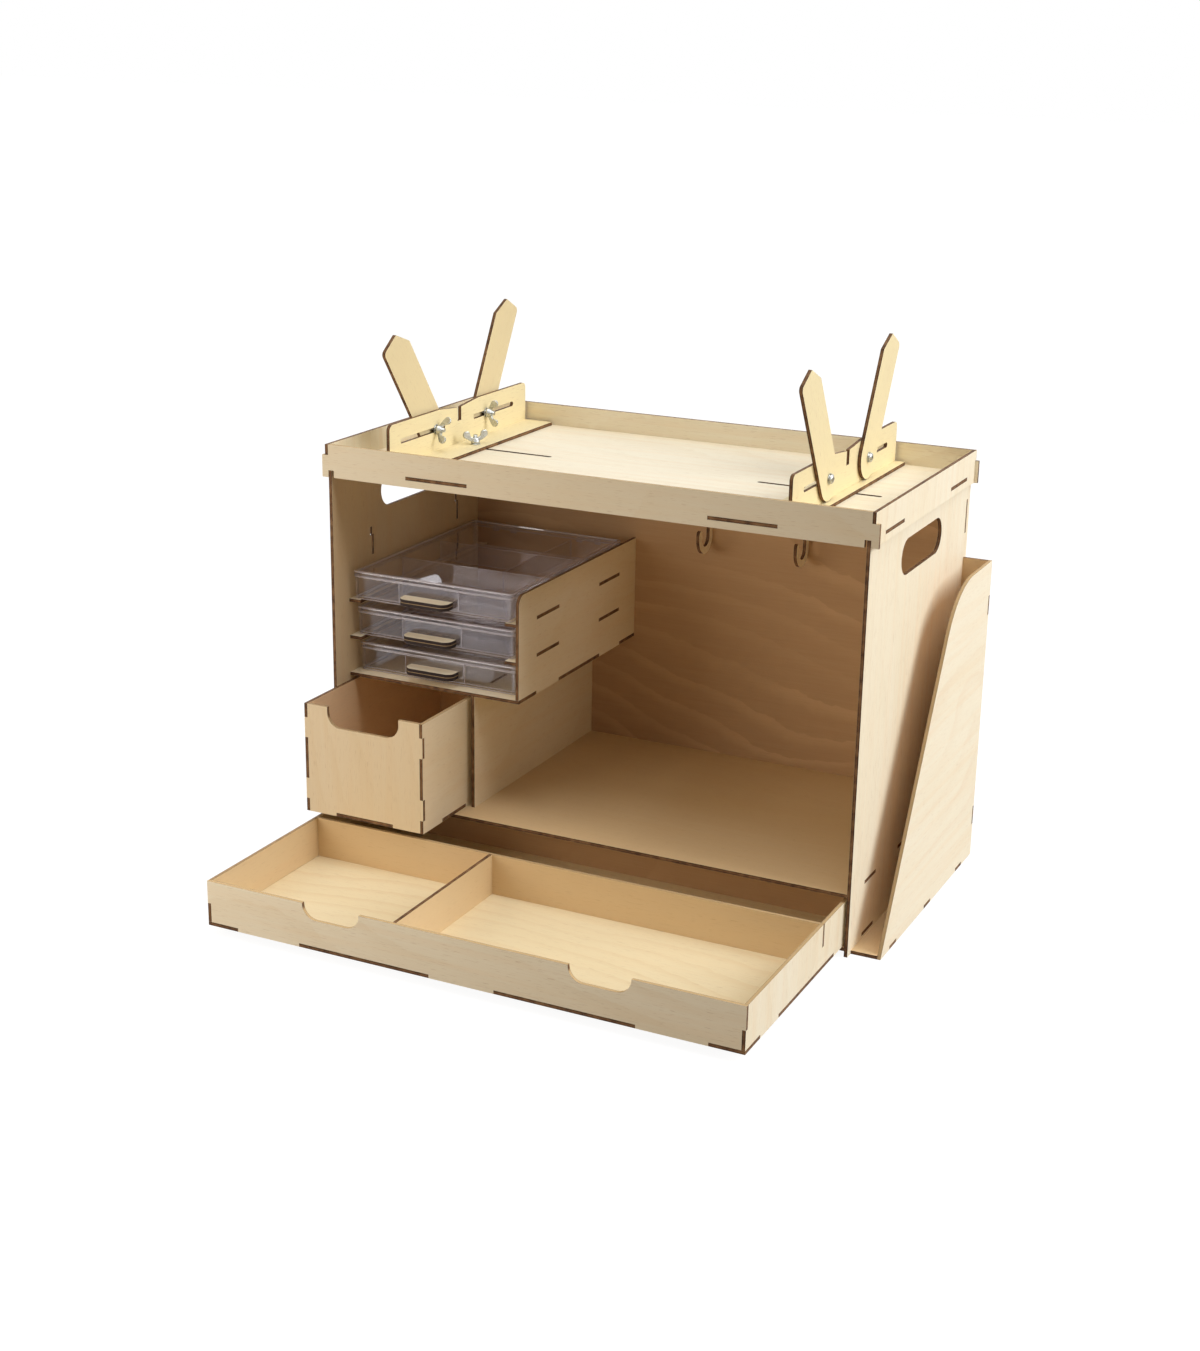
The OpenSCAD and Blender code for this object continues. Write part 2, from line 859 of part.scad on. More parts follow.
module wide_side() {
    half = wide_z + wide_h / 2;
    top = wide_z + wide_h + over;
    difference() {
        rect(wide_y, wide_y + wide_d, wide_z, wide_z + wide_h);
        rect(wide_y - over, wide_y + ply + kerf, half - kerf, top);
        rect(wide_y + wide_d - ply - kerf, wide_y + wide_d + over, half - kerf, top);
        rect(cross_y - kerf, cross_y + ply + kerf, half - kerf, top);
        rect(wide_tab_y - wide_long_tab / 2 - kerf, wide_tab_y + wide_long_tab / 2 + kerf,
             wide_z - over, wide_z + ply + kerf);
        for (y = [wide_y - over, wide_y + wide_d - wide_corner - kerf])
            rect(y, y + wide_corner + over + kerf, wide_z - over, wide_z + ply + kerf);
    }
}

module wide_drawer_left_side() {
    color(birch)
        placed()
            board_x(wide_x)
                wide_side();
}

module wide_drawer_right_side() {
    color(birch)
        placed()
            board_x(wide_x + wide_w - ply)
                wide_side();
}

module wide_drawer_bottom() {
    color(birch)
        placed()
            board_z(wide_z) {
                rect(wide_x + ply, wide_x + wide_w - ply,
                     wide_y + ply, wide_y + wide_d - ply);
                for (x = wide_tab_x)
                    rect(x - wide_long_tab / 2, x + wide_long_tab / 2,
                         wide_y, wide_y + wide_d);
                rect(wide_x, wide_x + wide_w,
                     wide_tab_y - wide_long_tab / 2, wide_tab_y + wide_long_tab / 2);
                for (x = [wide_x, wide_x + wide_w - wide_corner],
                     y = [wide_y, wide_y + wide_d - wide_corner])
                    rect(x, x + wide_corner, y, y + wide_corner);
            }
}

module wide_drawer_cross_wall() {
    color(birch)
        placed()
            board_y(cross_y) {
                rect(wide_x + ply, wide_x + wide_w - ply, wide_z + ply, wide_z + wide_h);
                rect(wide_x, wide_x + wide_w, wide_z + wide_h / 2, wide_z + wide_h);
            }
}

module wide_drawer_divider() {
    color(birch)
        placed()
            board_x(wide_x + wide_split)
                rect(wide_y + ply, cross_y, wide_z + ply, wide_z + wide_h);
}

// Plastic boxes, counted from the bottom one

function box_y(level) = shelf_setback + box_push[level];
function box_z(level) = rack_floor_z + level * rack_pitch + ply + slide_gap;

// Outline of a box, drawn in from the lid's edge by some distance
module box_rect(y, inset) {
    round_rect(box_x + inset, box_x + box_w - inset, y + inset, y + box_d - inset,
               box_r - inset);
}

// Places what belongs to a box's hinge, whose axis is the lower rear edge of the lid
module hinge_place(level) {
    translate([0, box_y(level) + box_d, box_z(level) + tub_h + lid_gap])
        children();
}

// Round rods along the axis of both hinges, over spans counted from each hinge's middle
module hinge_rods(spans, r) {
    for (x = hinge_x, span = spans)
        translate([x + span[0], 0, 0])
            rotate([0, 90, 0])
                cylinder(h = span[1] - span[0], r = r);
}

// Room for the other part's knuckles
module hinge_rooms(spans) {
    room = knuckle_r + knuckle_gap;
    for (x = hinge_x, span = spans)
        translate([x + span[0] - knuckle_gap, -room, -room])
            cube([span[1] - span[0] + 2 * knuckle_gap, 2 * room, 2 * room]);
}

module box_tub(level) {
    y = box_y(level);
    z = box_z(level);
    leaf_d = lid_lip + box_wall / 2;
    color(clear_plastic)
        placed() {
            difference() {
                board_z(z, tub_h)
                    box_rect(y, lid_lip);
                difference() {
                    board_z(z + box_wall, tub_h)
                        box_rect(y, lid_lip + box_wall);
                    board_z(z, tub_h - over) {
                        for (cross = box_cross)
                            rect(box_x, box_x + box_w,
                                 y + cross - box_wall / 2, y + cross + box_wall / 2);
                        rect(box_x + box_split - box_wall / 2,
                             box_x + box_split + box_wall / 2,
                             y + box_cross[0], y + box_d);
                    }
                }
                hinge_place(level)
                    hinge_rooms(lid_knuckles);
            }
            hinge_place(level) {
                hinge_rods(tub_knuckles, knuckle_r);
                hinge_rods([[-hinge_end, hinge_end]], hinge_pin_r);
                for (x = hinge_x, span = tub_knuckles)
                    translate([x + span[0], -leaf_d, -hinge_leaf_h])
                        cube([span[1] - span[0], leaf_d, hinge_leaf_h - lid_gap]);
            }
        }
}

module box_lid(level) {
    y = box_y(level);
    z = box_z(level) + tub_h + lid_gap;
    height = lid_h - lid_gap;
    color(clear_plastic)
        placed()
            difference() {
                union() {
                    difference() {
                        board_z(z, height)
                            box_rect(y, 0);
                        board_z(z - over, height + over - box_wall)
                            box_rect(y, lid_lip + box_wall);
                        hinge_place(level)
                            hinge_rooms(tub_knuckles);
                    }
                    hinge_place(level)
                        hinge_rods(lid_knuckles, knuckle_r);
                }
                hinge_place(level)
                    hinge_rods([[-hinge_end, hinge_end]], hinge_pin_r + hinge_pin_play);
            }
}

module box_pull(level) {
    y = box_y(level) + lid_lip;
    x = box_x + box_w / 2 + pull_off;
    color(birch)
        placed()
            board_z(box_z(level) + pull_z[level], pull_t)
                difference() {
                    rect(x - pull_l / 2, x + pull_l / 2, y - pull_d, y);
                    corner_cut(x - pull_l / 2, y - pull_d, pull_r, 1, 1);
                    corner_cut(x + pull_l / 2, y - pull_d, pull_r, -1, 1);
                }
}

module bottom_box_tub() {
    box_tub(0);
}

module bottom_box_lid() {
    box_lid(0);
}

module bottom_box_pull() {
    box_pull(0);
}

module middle_box_tub() {
    box_tub(1);
}

module middle_box_lid() {
    box_lid(1);
}

module middle_box_pull() {
    box_pull(1);
}

module top_box_tub() {
    box_tub(2);
}

module top_box_lid() {
    box_lid(2);
}

module top_box_pull() {
    box_pull(2);
}

// Keel clamps: hand is -1 for the left clamp and 1 for the right one, and points from
// the base bolt to the side that carries the arms

// Places a clamp with the base bolt's axis at its origin, on the tray floor
module clamp_place(x) {
    placed()
        translate([x, clamp_y, 0])
            children();
}

// Board of a clamp that faces left and right, between two distances from the base bolt
module clamp_board(hand, near, far) {
    board_x(min(hand * near, hand * far), far - near)
        children();
}

module clamp_base_plate(hand, x) {
    fence_mid = hand * (fence_x + ply / 2);
    low = min(hand * clamp_arm_side, -hand * clamp_nut_side);
    high = max(hand * clamp_arm_side, -hand * clamp_nut_side);
    color(clamp_birch)
        clamp_place(x)
            board_z(plate_z)
                difference() {
                    rect(low, high, -clamp_l / 2, clamp_l / 2);
                    circle((bolt_d + bolt_play) / 2);
                    for (y = fence_tab_y)
                        rect(fence_mid - ply / 2 - kerf, fence_mid + ply / 2 + kerf,
                             y - fence_tab / 2 - kerf, y + fence_tab / 2 + kerf);
                }
}

module clamp_fence(hand, x) {
    half = clamp_l / 2;
    front = hand < 0 ? left_fence_trim - half : -half;
    top = plate_top + fence_h;
    saddle = top - fence_dip;
    color(clamp_birch)
        clamp_place(x)
            clamp_board(hand, fence_x, fence_x + ply)
                difference() {
                    union() {
                        polygon([
                            [front, plate_top], [half, plate_top], [half, top],
                            [fence_dip_l, top], [fence_notch_w / 2, saddle],
                            [-fence_notch_w / 2, saddle], [-fence_dip_l, top], [front, top]
                        ]);
                        for (y = fence_tab_y)
                            rect(y - fence_tab / 2, y + fence_tab / 2,
                                 plate_z, plate_top + over);
                    }
                    rect(-fence_notch_w / 2, fence_notch_w / 2,
                         plate_top + fence_notch_h, top);
                    for (y = [-fence_slot_out, fence_slot_in])
                        long_slot(y, y + fence_slot_out - fence_slot_in,
                                  arm_bolt_z, slot_w);
                    corner_cut(front, top, fence_corner_r, 1, -1);
                    corner_cut(half, top, fence_corner_r, -1, -1);
                }
}

// Lean of an arm and place of its bolt: end is -1 for a front arm and 1 for a back one
function arm_lean(hand, end) = hand < 0
    ? (end < 0 ? left_front_lean : left_back_lean)
    : (end < 0 ? right_front_lean : right_back_lean);
function arm_bolt_y(hand, end) = end * (hand < 0
    ? (end < 0 ? left_front_bolt_y : left_back_bolt_y)
    : (end < 0 ? right_front_bolt_y : right_back_bolt_y));

module clamp_arm(hand, x, end) {
    near = fence_x + ply + arm_gap;
    color(clamp_birch)
        clamp_place(x)
            translate([0, arm_bolt_y(hand, end), arm_bolt_z])
                rotate([-end * arm_lean(hand, end), 0, 0])
                    clamp_board(hand, near, near + ply)
                        mirror([end < 0 ? 1 : 0, 0])
                            arm_outline(arm_w / 2);
}

// Arm standing upright, with its outer edge at the positive side and the bore at zero
module arm_outline(half) {
    difference() {
        union() {
            circle(half);
            polygon([
                [-half, 0], [half, 0], [half, arm_l],
                [arm_cut_w - half, arm_l], [-half, arm_l - arm_cut_h]
            ]);
        }
        corner_cut(half, arm_l, arm_shoulder_r, -1, -1);
        circle((bolt_d + bolt_play) / 2);
    }
}

// Bolt along the first axis with its head at zero, and its washer and shank beyond
module bolt(shank) {
    dome = 1;
    rotate([0, 90, 0]) {
        translate([0, 0, -head_h])
            rotate_extrude()
                polygon([
                    [0, 0], [head_d / 2 - dome, 0], [head_d / 2, dome],
                    [head_d / 2, head_h], [0, head_h]
                ]);
        cylinder(h = shank, d = bolt_d);
    }
}

module washer(at) {
    translate([at, 0, 0])
        rotate([0, 90, 0])
            difference() {
                cylinder(h = washer_t, d = washer_d);
                translate([0, 0, -over])
                    cylinder(h = washer_t + 2 * over, d = bolt_d + washer_play);
            }
}

// Wing nut along the first axis with its seat at zero
module wing_nut() {
    wing_t = 1.8;
    wing_r = 3;
    wing_rise = 8;
    wing_foot = 1;
    reach = wing_span / 2 - wing_r;
    rotate([0, 90, 0])
        difference() {
            union() {
                cylinder(h = hub_h, d = hub_d);
                for (side = [0, 180])
                    rotate([90, 0, side])
                        translate([0, 0, -wing_t / 2])
                            linear_extrude(wing_t) {
                                polygon([
                                    [hub_d / 2 - over, wing_foot],
                                    [reach + wing_r * sin(50), wing_rise - wing_r * cos(50)],
                                    [reach - wing_r * sin(50), wing_rise + wing_r * cos(50)],
                                    [hub_d / 2 - over, hub_h - 0.5]
                                ]);
                                translate([reach, wing_rise])
                                    circle(wing_r);
                            }
            }
            translate([0, 0, -over])
                cylinder(h = hub_h + 2 * over, d = bolt_d + bolt_play);
        }
}

// Places what turns on an arm's bolt: zero is the outer face of the arm
module arm_bolt_place(hand, x, end) {
    clamp_place(x)
        translate([hand * (fence_x + 2 * ply + arm_gap), arm_bolt_y(hand, end), arm_bolt_z])
            mirror([hand > 0 ? 1 : 0, 0, 0])
                children();
}

// Distance from the arm's outer face to the fence's far face
function arm_stack() = 2 * ply + arm_gap;
function nut_seat() = arm_stack() + slide_gap + washer_t + slide_gap;

module clamp_arm_bolt(hand, x, end) {
    head_at = -slide_gap - washer_t - slide_gap;
    color(zinc)
        arm_bolt_place(hand, x, end) {
            translate([head_at, 0, 0])
                bolt(nut_seat() - head_at + hub_h + thread_end);
            washer(-slide_gap - washer_t);
            washer(arm_stack() + slide_gap);
        }
}

// How far round each arm's wing nut stands
function nut_turn(hand, end) = hand > 0 ? 80 : (end < 0 ? -36 : 5);

module clamp_arm_wing_nut(hand, x, end) {
    color(zinc)
        arm_bolt_place(hand, x, end)
            translate([nut_seat(), 0, 0])
                rotate([nut_turn(hand, end), 0, 0])
                    wing_nut();
}

// The base bolt passes up through the tray floor, with its head below the floor
module base_bolt_place(x) {
    clamp_place(x)
        translate([0, 0, tray_floor_z])
            rotate([0, -90, 0])
                children();
}

function base_stack() = plate_top - tray_floor_z;
function base_nut_seat() = base_stack() + slide_gap + washer_t + slide_gap;

module clamp_base_bolt(x) {
    head_at = -slide_gap - washer_t - slide_gap;
    color(zinc)
        base_bolt_place(x) {
            translate([head_at, 0, 0])
                bolt(base_nut_seat() - head_at + hub_h + thread_end);
            washer(-slide_gap - washer_t);
            washer(base_stack() + slide_gap);
        }
}

module clamp_base_wing_nut(x) {
    turn = 62;
    color(zinc)
        base_bolt_place(x)
            translate([base_nut_seat(), 0, 0])
                rotate([turn, 0, 0])
                    wing_nut();
}

module left_clamp_base_plate() {
    clamp_base_plate(-1, left_clamp_x);
}

module left_clamp_fence() {
    clamp_fence(-1, left_clamp_x);
}

module left_clamp_base_bolt() {
    clamp_base_bolt(left_clamp_x);
}

module left_clamp_base_wing_nut() {
    clamp_base_wing_nut(left_clamp_x);
}

module left_clamp_front_arm() {
    clamp_arm(-1, left_clamp_x, -1);
}

module left_clamp_back_arm() {
    clamp_arm(-1, left_clamp_x, 1);
}

module left_clamp_front_bolt() {
    clamp_arm_bolt(-1, left_clamp_x, -1);
}

module left_clamp_back_bolt() {
    clamp_arm_bolt(-1, left_clamp_x, 1);
}

module left_clamp_front_wing_nut() {
    clamp_arm_wing_nut(-1, left_clamp_x, -1);
}

module left_clamp_back_wing_nut() {
    clamp_arm_wing_nut(-1, left_clamp_x, 1);
}

module right_clamp_base_plate() {
    clamp_base_plate(1, right_clamp_at);
}

module right_clamp_fence() {
    clamp_fence(1, right_clamp_at);
}

module right_clamp_base_bolt() {
    clamp_base_bolt(right_clamp_at);
}

module right_clamp_base_wing_nut() {
    clamp_base_wing_nut(right_clamp_at);
}

module right_clamp_front_arm() {
    clamp_arm(1, right_clamp_at, -1);
}

module right_clamp_back_arm() {
    clamp_arm(1, right_clamp_at, 1);
}

module right_clamp_front_bolt() {
    clamp_arm_bolt(1, right_clamp_at, -1);
}

module right_clamp_back_bolt() {
    clamp_arm_bolt(1, right_clamp_at, 1);
}

module right_clamp_front_wing_nut() {
    clamp_arm_wing_nut(1, right_clamp_at, -1);
}

module right_clamp_back_wing_nut() {
    clamp_arm_wing_nut(1, right_clamp_at, 1);
}

left_side_panel();
right_side_panel();
back_panel();
base_panel();
deck_panel();
bay_divider();
rack_floor();
rack_side_panel();
box_runners();
tool_hooks();
pocket_outer_panel();
pocket_back_plate();
pocket_floor_plate();
tray_floor();
tray_front_rim();
tray_back_rim();
tray_left_rim();
tray_right_rim();
small_drawer_front();
small_drawer_back();
small_drawer_left_side();
small_drawer_right_side();
small_drawer_bottom();
wide_drawer_front();
wide_drawer_back();
wide_drawer_left_side();
wide_drawer_right_side();
wide_drawer_bottom();
wide_drawer_cross_wall();
wide_drawer_divider();
bottom_box_tub();
bottom_box_lid();
bottom_box_pull();
middle_box_tub();
middle_box_lid();
middle_box_pull();
top_box_tub();
top_box_lid();
top_box_pull();
left_clamp_base_plate();
left_clamp_fence();
left_clamp_base_bolt();
left_clamp_base_wing_nut();
left_clamp_front_arm();
left_clamp_back_arm();
left_clamp_front_bolt();
left_clamp_back_bolt();
left_clamp_front_wing_nut();
left_clamp_back_wing_nut();
right_clamp_base_plate();
right_clamp_fence();
right_clamp_base_bolt();
right_clamp_base_wing_nut();
right_clamp_front_arm();
right_clamp_back_arm();
right_clamp_front_bolt();
right_clamp_back_bolt();
right_clamp_front_wing_nut();
right_clamp_back_wing_nut();
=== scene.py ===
# %% [markdown]
# # A slot-together modelling workbench
#
# This lesson dresses a plywood workbench that was drawn as a CAD model. The boards are
# laser-cut birch plywood, the three small-parts boxes are clear polystyrene, and the keel
# clamps on the tray are held by zinc-plated bolts and wing nuts. The CAD model comes in as
# a fixed frame. The boards keep their CAD shapes, because a laser cuts exactly what the
# drawing says, and get a wood finish. The boxes, bolts and nuts are built again here,
# because moulded and cast things have soft edges, rims, threads and fillets.

import json
import math

import bmesh
import bpy
from mathutils import Matrix, Vector

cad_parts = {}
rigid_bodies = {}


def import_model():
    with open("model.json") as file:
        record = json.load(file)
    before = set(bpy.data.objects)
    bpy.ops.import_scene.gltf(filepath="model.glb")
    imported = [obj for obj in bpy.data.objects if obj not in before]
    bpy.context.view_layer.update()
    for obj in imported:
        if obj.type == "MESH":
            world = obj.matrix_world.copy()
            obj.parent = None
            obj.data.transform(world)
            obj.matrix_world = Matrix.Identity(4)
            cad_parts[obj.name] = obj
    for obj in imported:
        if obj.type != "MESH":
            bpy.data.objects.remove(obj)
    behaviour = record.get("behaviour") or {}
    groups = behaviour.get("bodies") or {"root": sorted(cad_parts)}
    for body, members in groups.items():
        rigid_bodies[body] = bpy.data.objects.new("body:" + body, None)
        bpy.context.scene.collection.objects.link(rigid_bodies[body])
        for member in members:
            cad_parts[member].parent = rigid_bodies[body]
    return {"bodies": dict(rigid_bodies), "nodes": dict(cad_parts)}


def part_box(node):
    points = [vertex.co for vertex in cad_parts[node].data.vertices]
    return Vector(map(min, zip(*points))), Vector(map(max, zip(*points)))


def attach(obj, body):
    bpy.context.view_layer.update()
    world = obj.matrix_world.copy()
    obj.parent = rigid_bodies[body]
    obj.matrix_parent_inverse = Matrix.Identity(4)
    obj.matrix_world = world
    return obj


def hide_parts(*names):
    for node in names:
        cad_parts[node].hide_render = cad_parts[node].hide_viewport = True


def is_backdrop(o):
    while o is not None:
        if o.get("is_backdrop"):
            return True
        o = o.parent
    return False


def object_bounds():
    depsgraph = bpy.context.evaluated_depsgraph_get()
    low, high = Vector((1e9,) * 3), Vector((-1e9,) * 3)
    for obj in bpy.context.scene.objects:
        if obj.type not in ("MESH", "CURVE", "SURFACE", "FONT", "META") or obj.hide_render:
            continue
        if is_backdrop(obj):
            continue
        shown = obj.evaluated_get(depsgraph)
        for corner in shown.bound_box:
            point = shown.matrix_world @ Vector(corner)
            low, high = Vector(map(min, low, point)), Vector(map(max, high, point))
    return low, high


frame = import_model()
cad_low, cad_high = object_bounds()
MM = 0.001
print("nodes:", len(frame["nodes"]), "bodies:", len(frame["bodies"]))

# %% [markdown]
# ## The camera
#
# The bench is seen from its front right, a little from above. Yaw turns the view to the
# left of straight ahead, pitch tips it down, and roll is the small tilt of a hand-held
# camera. The three columns of the camera's matrix are its right, its up and its back.

# %% Camera
CAMERA_AT = Vector((0.72203, -1.70547, 0.72863))
YAW, PITCH, ROLL = 0.45153, 0.31542, 0.016626
SENSOR_WIDTH = 36  # in mm, as the lens is
LENS = 55.82


def camera_turn(yaw, pitch, roll):
    """The camera's rotation, from its right, up and back directions."""
    ahead = Vector((
        -math.sin(yaw) * math.cos(pitch), math.cos(yaw) * math.cos(pitch), -math.sin(pitch)))
    level = Vector((math.cos(yaw), math.sin(yaw), 0))
    above = level.cross(ahead)
    right = level * math.cos(roll) + above * math.sin(roll)
    up = above * math.cos(roll) - level * math.sin(roll)
    return Matrix((right, up, -ahead)).transposed().to_4x4()


camera_data = bpy.data.cameras.new("camera")
camera_data.lens = LENS
camera_data.sensor_width = SENSOR_WIDTH
camera = bpy.data.objects.new("camera", camera_data)
bpy.context.scene.collection.objects.link(camera)
camera.matrix_world = Matrix.Translation(CAMERA_AT) @ camera_turn(YAW, PITCH, ROLL)
bpy.context.scene.camera = camera
print("camera:", [round(v, 3) for v in CAMERA_AT])

# %% [markdown]
# ## Node graphs as expressions
#
# Shader maths reads best as plain formulas. A Wire stands for one output of a node, and
# sums, products and comparisons on it add Math nodes. A Graph adds every other node with
# one method: the node's settings go in first, because they can change its sockets, and
# then the values or wires of its inputs. The same two classes serve materials and
# Geometry Nodes.

# %% Wires and graphs


class Wire:
    """One output of a node. Arithmetic on it adds Math nodes to the same graph."""

    def __init__(self, graph, socket):
        self.graph = graph
        self.socket = socket

    def output(self, name):
        """Another output of the same node."""
        return Wire(self.graph, self.socket.node.outputs[name])

    def math(self, operation, *values):
        return self.graph.node("ShaderNodeMath", {"operation": operation}, list(values))

    def __add__(self, other):
        return self.math("ADD", self, other)

    __radd__ = __add__

    def __sub__(self, other):
        return self.math("SUBTRACT", self, other)

    def __rsub__(self, other):
        return self.math("SUBTRACT", other, self)

    def __mul__(self, other):
        return self.math("MULTIPLY", self, other)

    __rmul__ = __mul__

    def __truediv__(self, other):
        return self.math("DIVIDE", self, other)

    def __abs__(self):
        return self.math("ABSOLUTE", self)

    def __round__(self):
        return self.math("ROUND", self)

    def most(self, other):
        return self.math("MAXIMUM", self, other)

    def fraction(self):
        return self.math("FRACT", self)

    def ramp(self, low, high):
        """0 at low, 1 at high and a smooth rise between them."""
        return self.graph.node("ShaderNodeMapRange", {
            "interpolation_type": "SMOOTHSTEP"}, [self, low, high, 0.0, 1.0])


class Graph:
    """A node tree that is built from expressions."""

    def __init__(self, tree):
        self.tree = tree
        tree.nodes.clear()

    def node(self, kind, settings=None, inputs=None, out=0):
        """Adds a node and gives one of its outputs. Inputs are named, or listed in order."""
        made = self.tree.nodes.new(kind)
        for name, value in (settings or {}).items():
            if name == "stops":
                self.set_stops(made.color_ramp, value)
            else:
                setattr(made, name, value)
        pairs = inputs.items() if isinstance(inputs, dict) else enumerate(inputs or [])
        for key, value in pairs:
            self.plug(made.inputs[key], value)
        return Wire(self, made.outputs[out]) if made.outputs else None

    def plug(self, socket, value):
        if isinstance(value, Wire):
            self.tree.links.new(value.socket, socket)
        elif value is not None:
            socket.default_value = value

    def set_stops(self, ramp, stops):
        """A ramp starts with two stops; the rest are added."""
        for place, _ in stops[2:]:
            ramp.elements.new(place)
        for element, (place, colour) in zip(ramp.elements, stops):
            element.position = place
            element.color = colour

    def vector(self, x, y, z):
        return self.node("ShaderNodeCombineXYZ", inputs=[x, y, z])

    def mix(self, factor, first, second):
        """Mixes two colours. A Mix node's colours are its sockets 6 and 7, and output 2."""
        return self.node(
            "ShaderNodeMix", {"data_type": "RGBA", "clamp_factor": True},
            {0: factor, 6: first, 7: second}, out=2)

    def noise(self, where, scale=1.0, detail=2.0, roughness=0.5, distortion=0.0):
        return self.node("ShaderNodeTexNoise", inputs={
            "Vector": where, "Scale": scale, "Detail": detail,
            "Roughness": roughness, "Distortion": distortion})


def new_finish(name):
    """An empty material and its graph."""
    material = bpy.data.materials.new(name)
    material.use_nodes = True
    return material, Graph(material.node_tree)


def colour(red, green, blue):
    """A colour as written on a screen, 0 to 255, as the linear light that shaders use."""
    return tuple(
        c / 12.92 if c <= 0.04045 else ((c + 0.055) / 1.055) ** 2.4
        for c in (red / 255, green / 255, blue / 255)) + (1.0,)


print("graph tools ready")

# %% [markdown]
# ## Birch plywood
#
# Rotary-cut birch is nearly plain: long faint fibres, a slow drift from cream to a warmer
# pink, growth rings that the knife met at a flat angle, and tiny dark flecks. A ring is a
# flowing line along the grain that fades in slowly, ends sharply and has a feathered edge.
# The laser leaves the cut edges brown, darkest where the outer veneers and the glue lines
# burnt. No edge has to be selected by hand. A board is a slab, so a point on its two
# faces is exactly half a thickness from the middle plane, and every point that lies
# nearer is on a cut edge. That distance also tells which ply it is, and its sign tells
# the two faces apart, so the inner one can carry painted shade of its own, darker and
# warmer where the inside of the bench lies in shade. Cut edges that face upwards are made
# pale with painted light, where the light from above would catch them.

# %% Birch finish
PLY = 3 * MM
FACE_SKIN = 0.04 * MM
CREAM = colour(250, 242, 220)
HONEY = colour(238, 216, 172)
PINK = colour(246, 224, 190)
RING = colour(221, 194, 150)
PALE_RING = colour(226, 186, 142)
FLECK = colour(180, 146, 104)
# The amber, umber, oat, peach and grey colours below are painted shade for boards that lie in
# shade; straw is the clamps' own tone.
SHADE_AMBER = colour(208, 172, 120)
DEEP_SHADE_UMBER = colour(190, 150, 110)
STRAW = colour(238, 223, 174)
SHADE_OAT = colour(224, 205, 156)
WARM_SHADE_PEACH = colour(242, 196, 150)
FRONT_SHADE_GREY = colour(212, 198, 172)
# Tan: the middle line of a pull's glued edge, and painted light on upward-facing cut edges.
GLUE_TAN_AND_LIT_EDGE = colour(208, 178, 132)
SOOT = colour(38, 25, 22)
TAN = colour(158, 122, 84)
BISTRE = colour(46, 28, 18)
CHAR_STOPS = (
    (0.0, colour(128, 92, 60)), (0.34, colour(112, 78, 50)), (0.42, colour(62, 39, 24)),
    (0.52, colour(100, 68, 42)), (0.86, colour(82, 54, 33)), (1.0, colour(52, 32, 20)))

# How many times each pattern repeats in a metre, along and across the grain.
DRIFT, STREAK, FIBRE, PORE = (3, 11), (5, 140), (22, 950), (110, 2300)
RING_FIELD, RING_FEATHER, RING_FADE = (1.6, 3.4), (70, 40), (4, 14)
RINGS_A_METRE = 42
RING_SWAY = 13
GLUE_LINE = (0.08 * MM, 0.25 * MM)


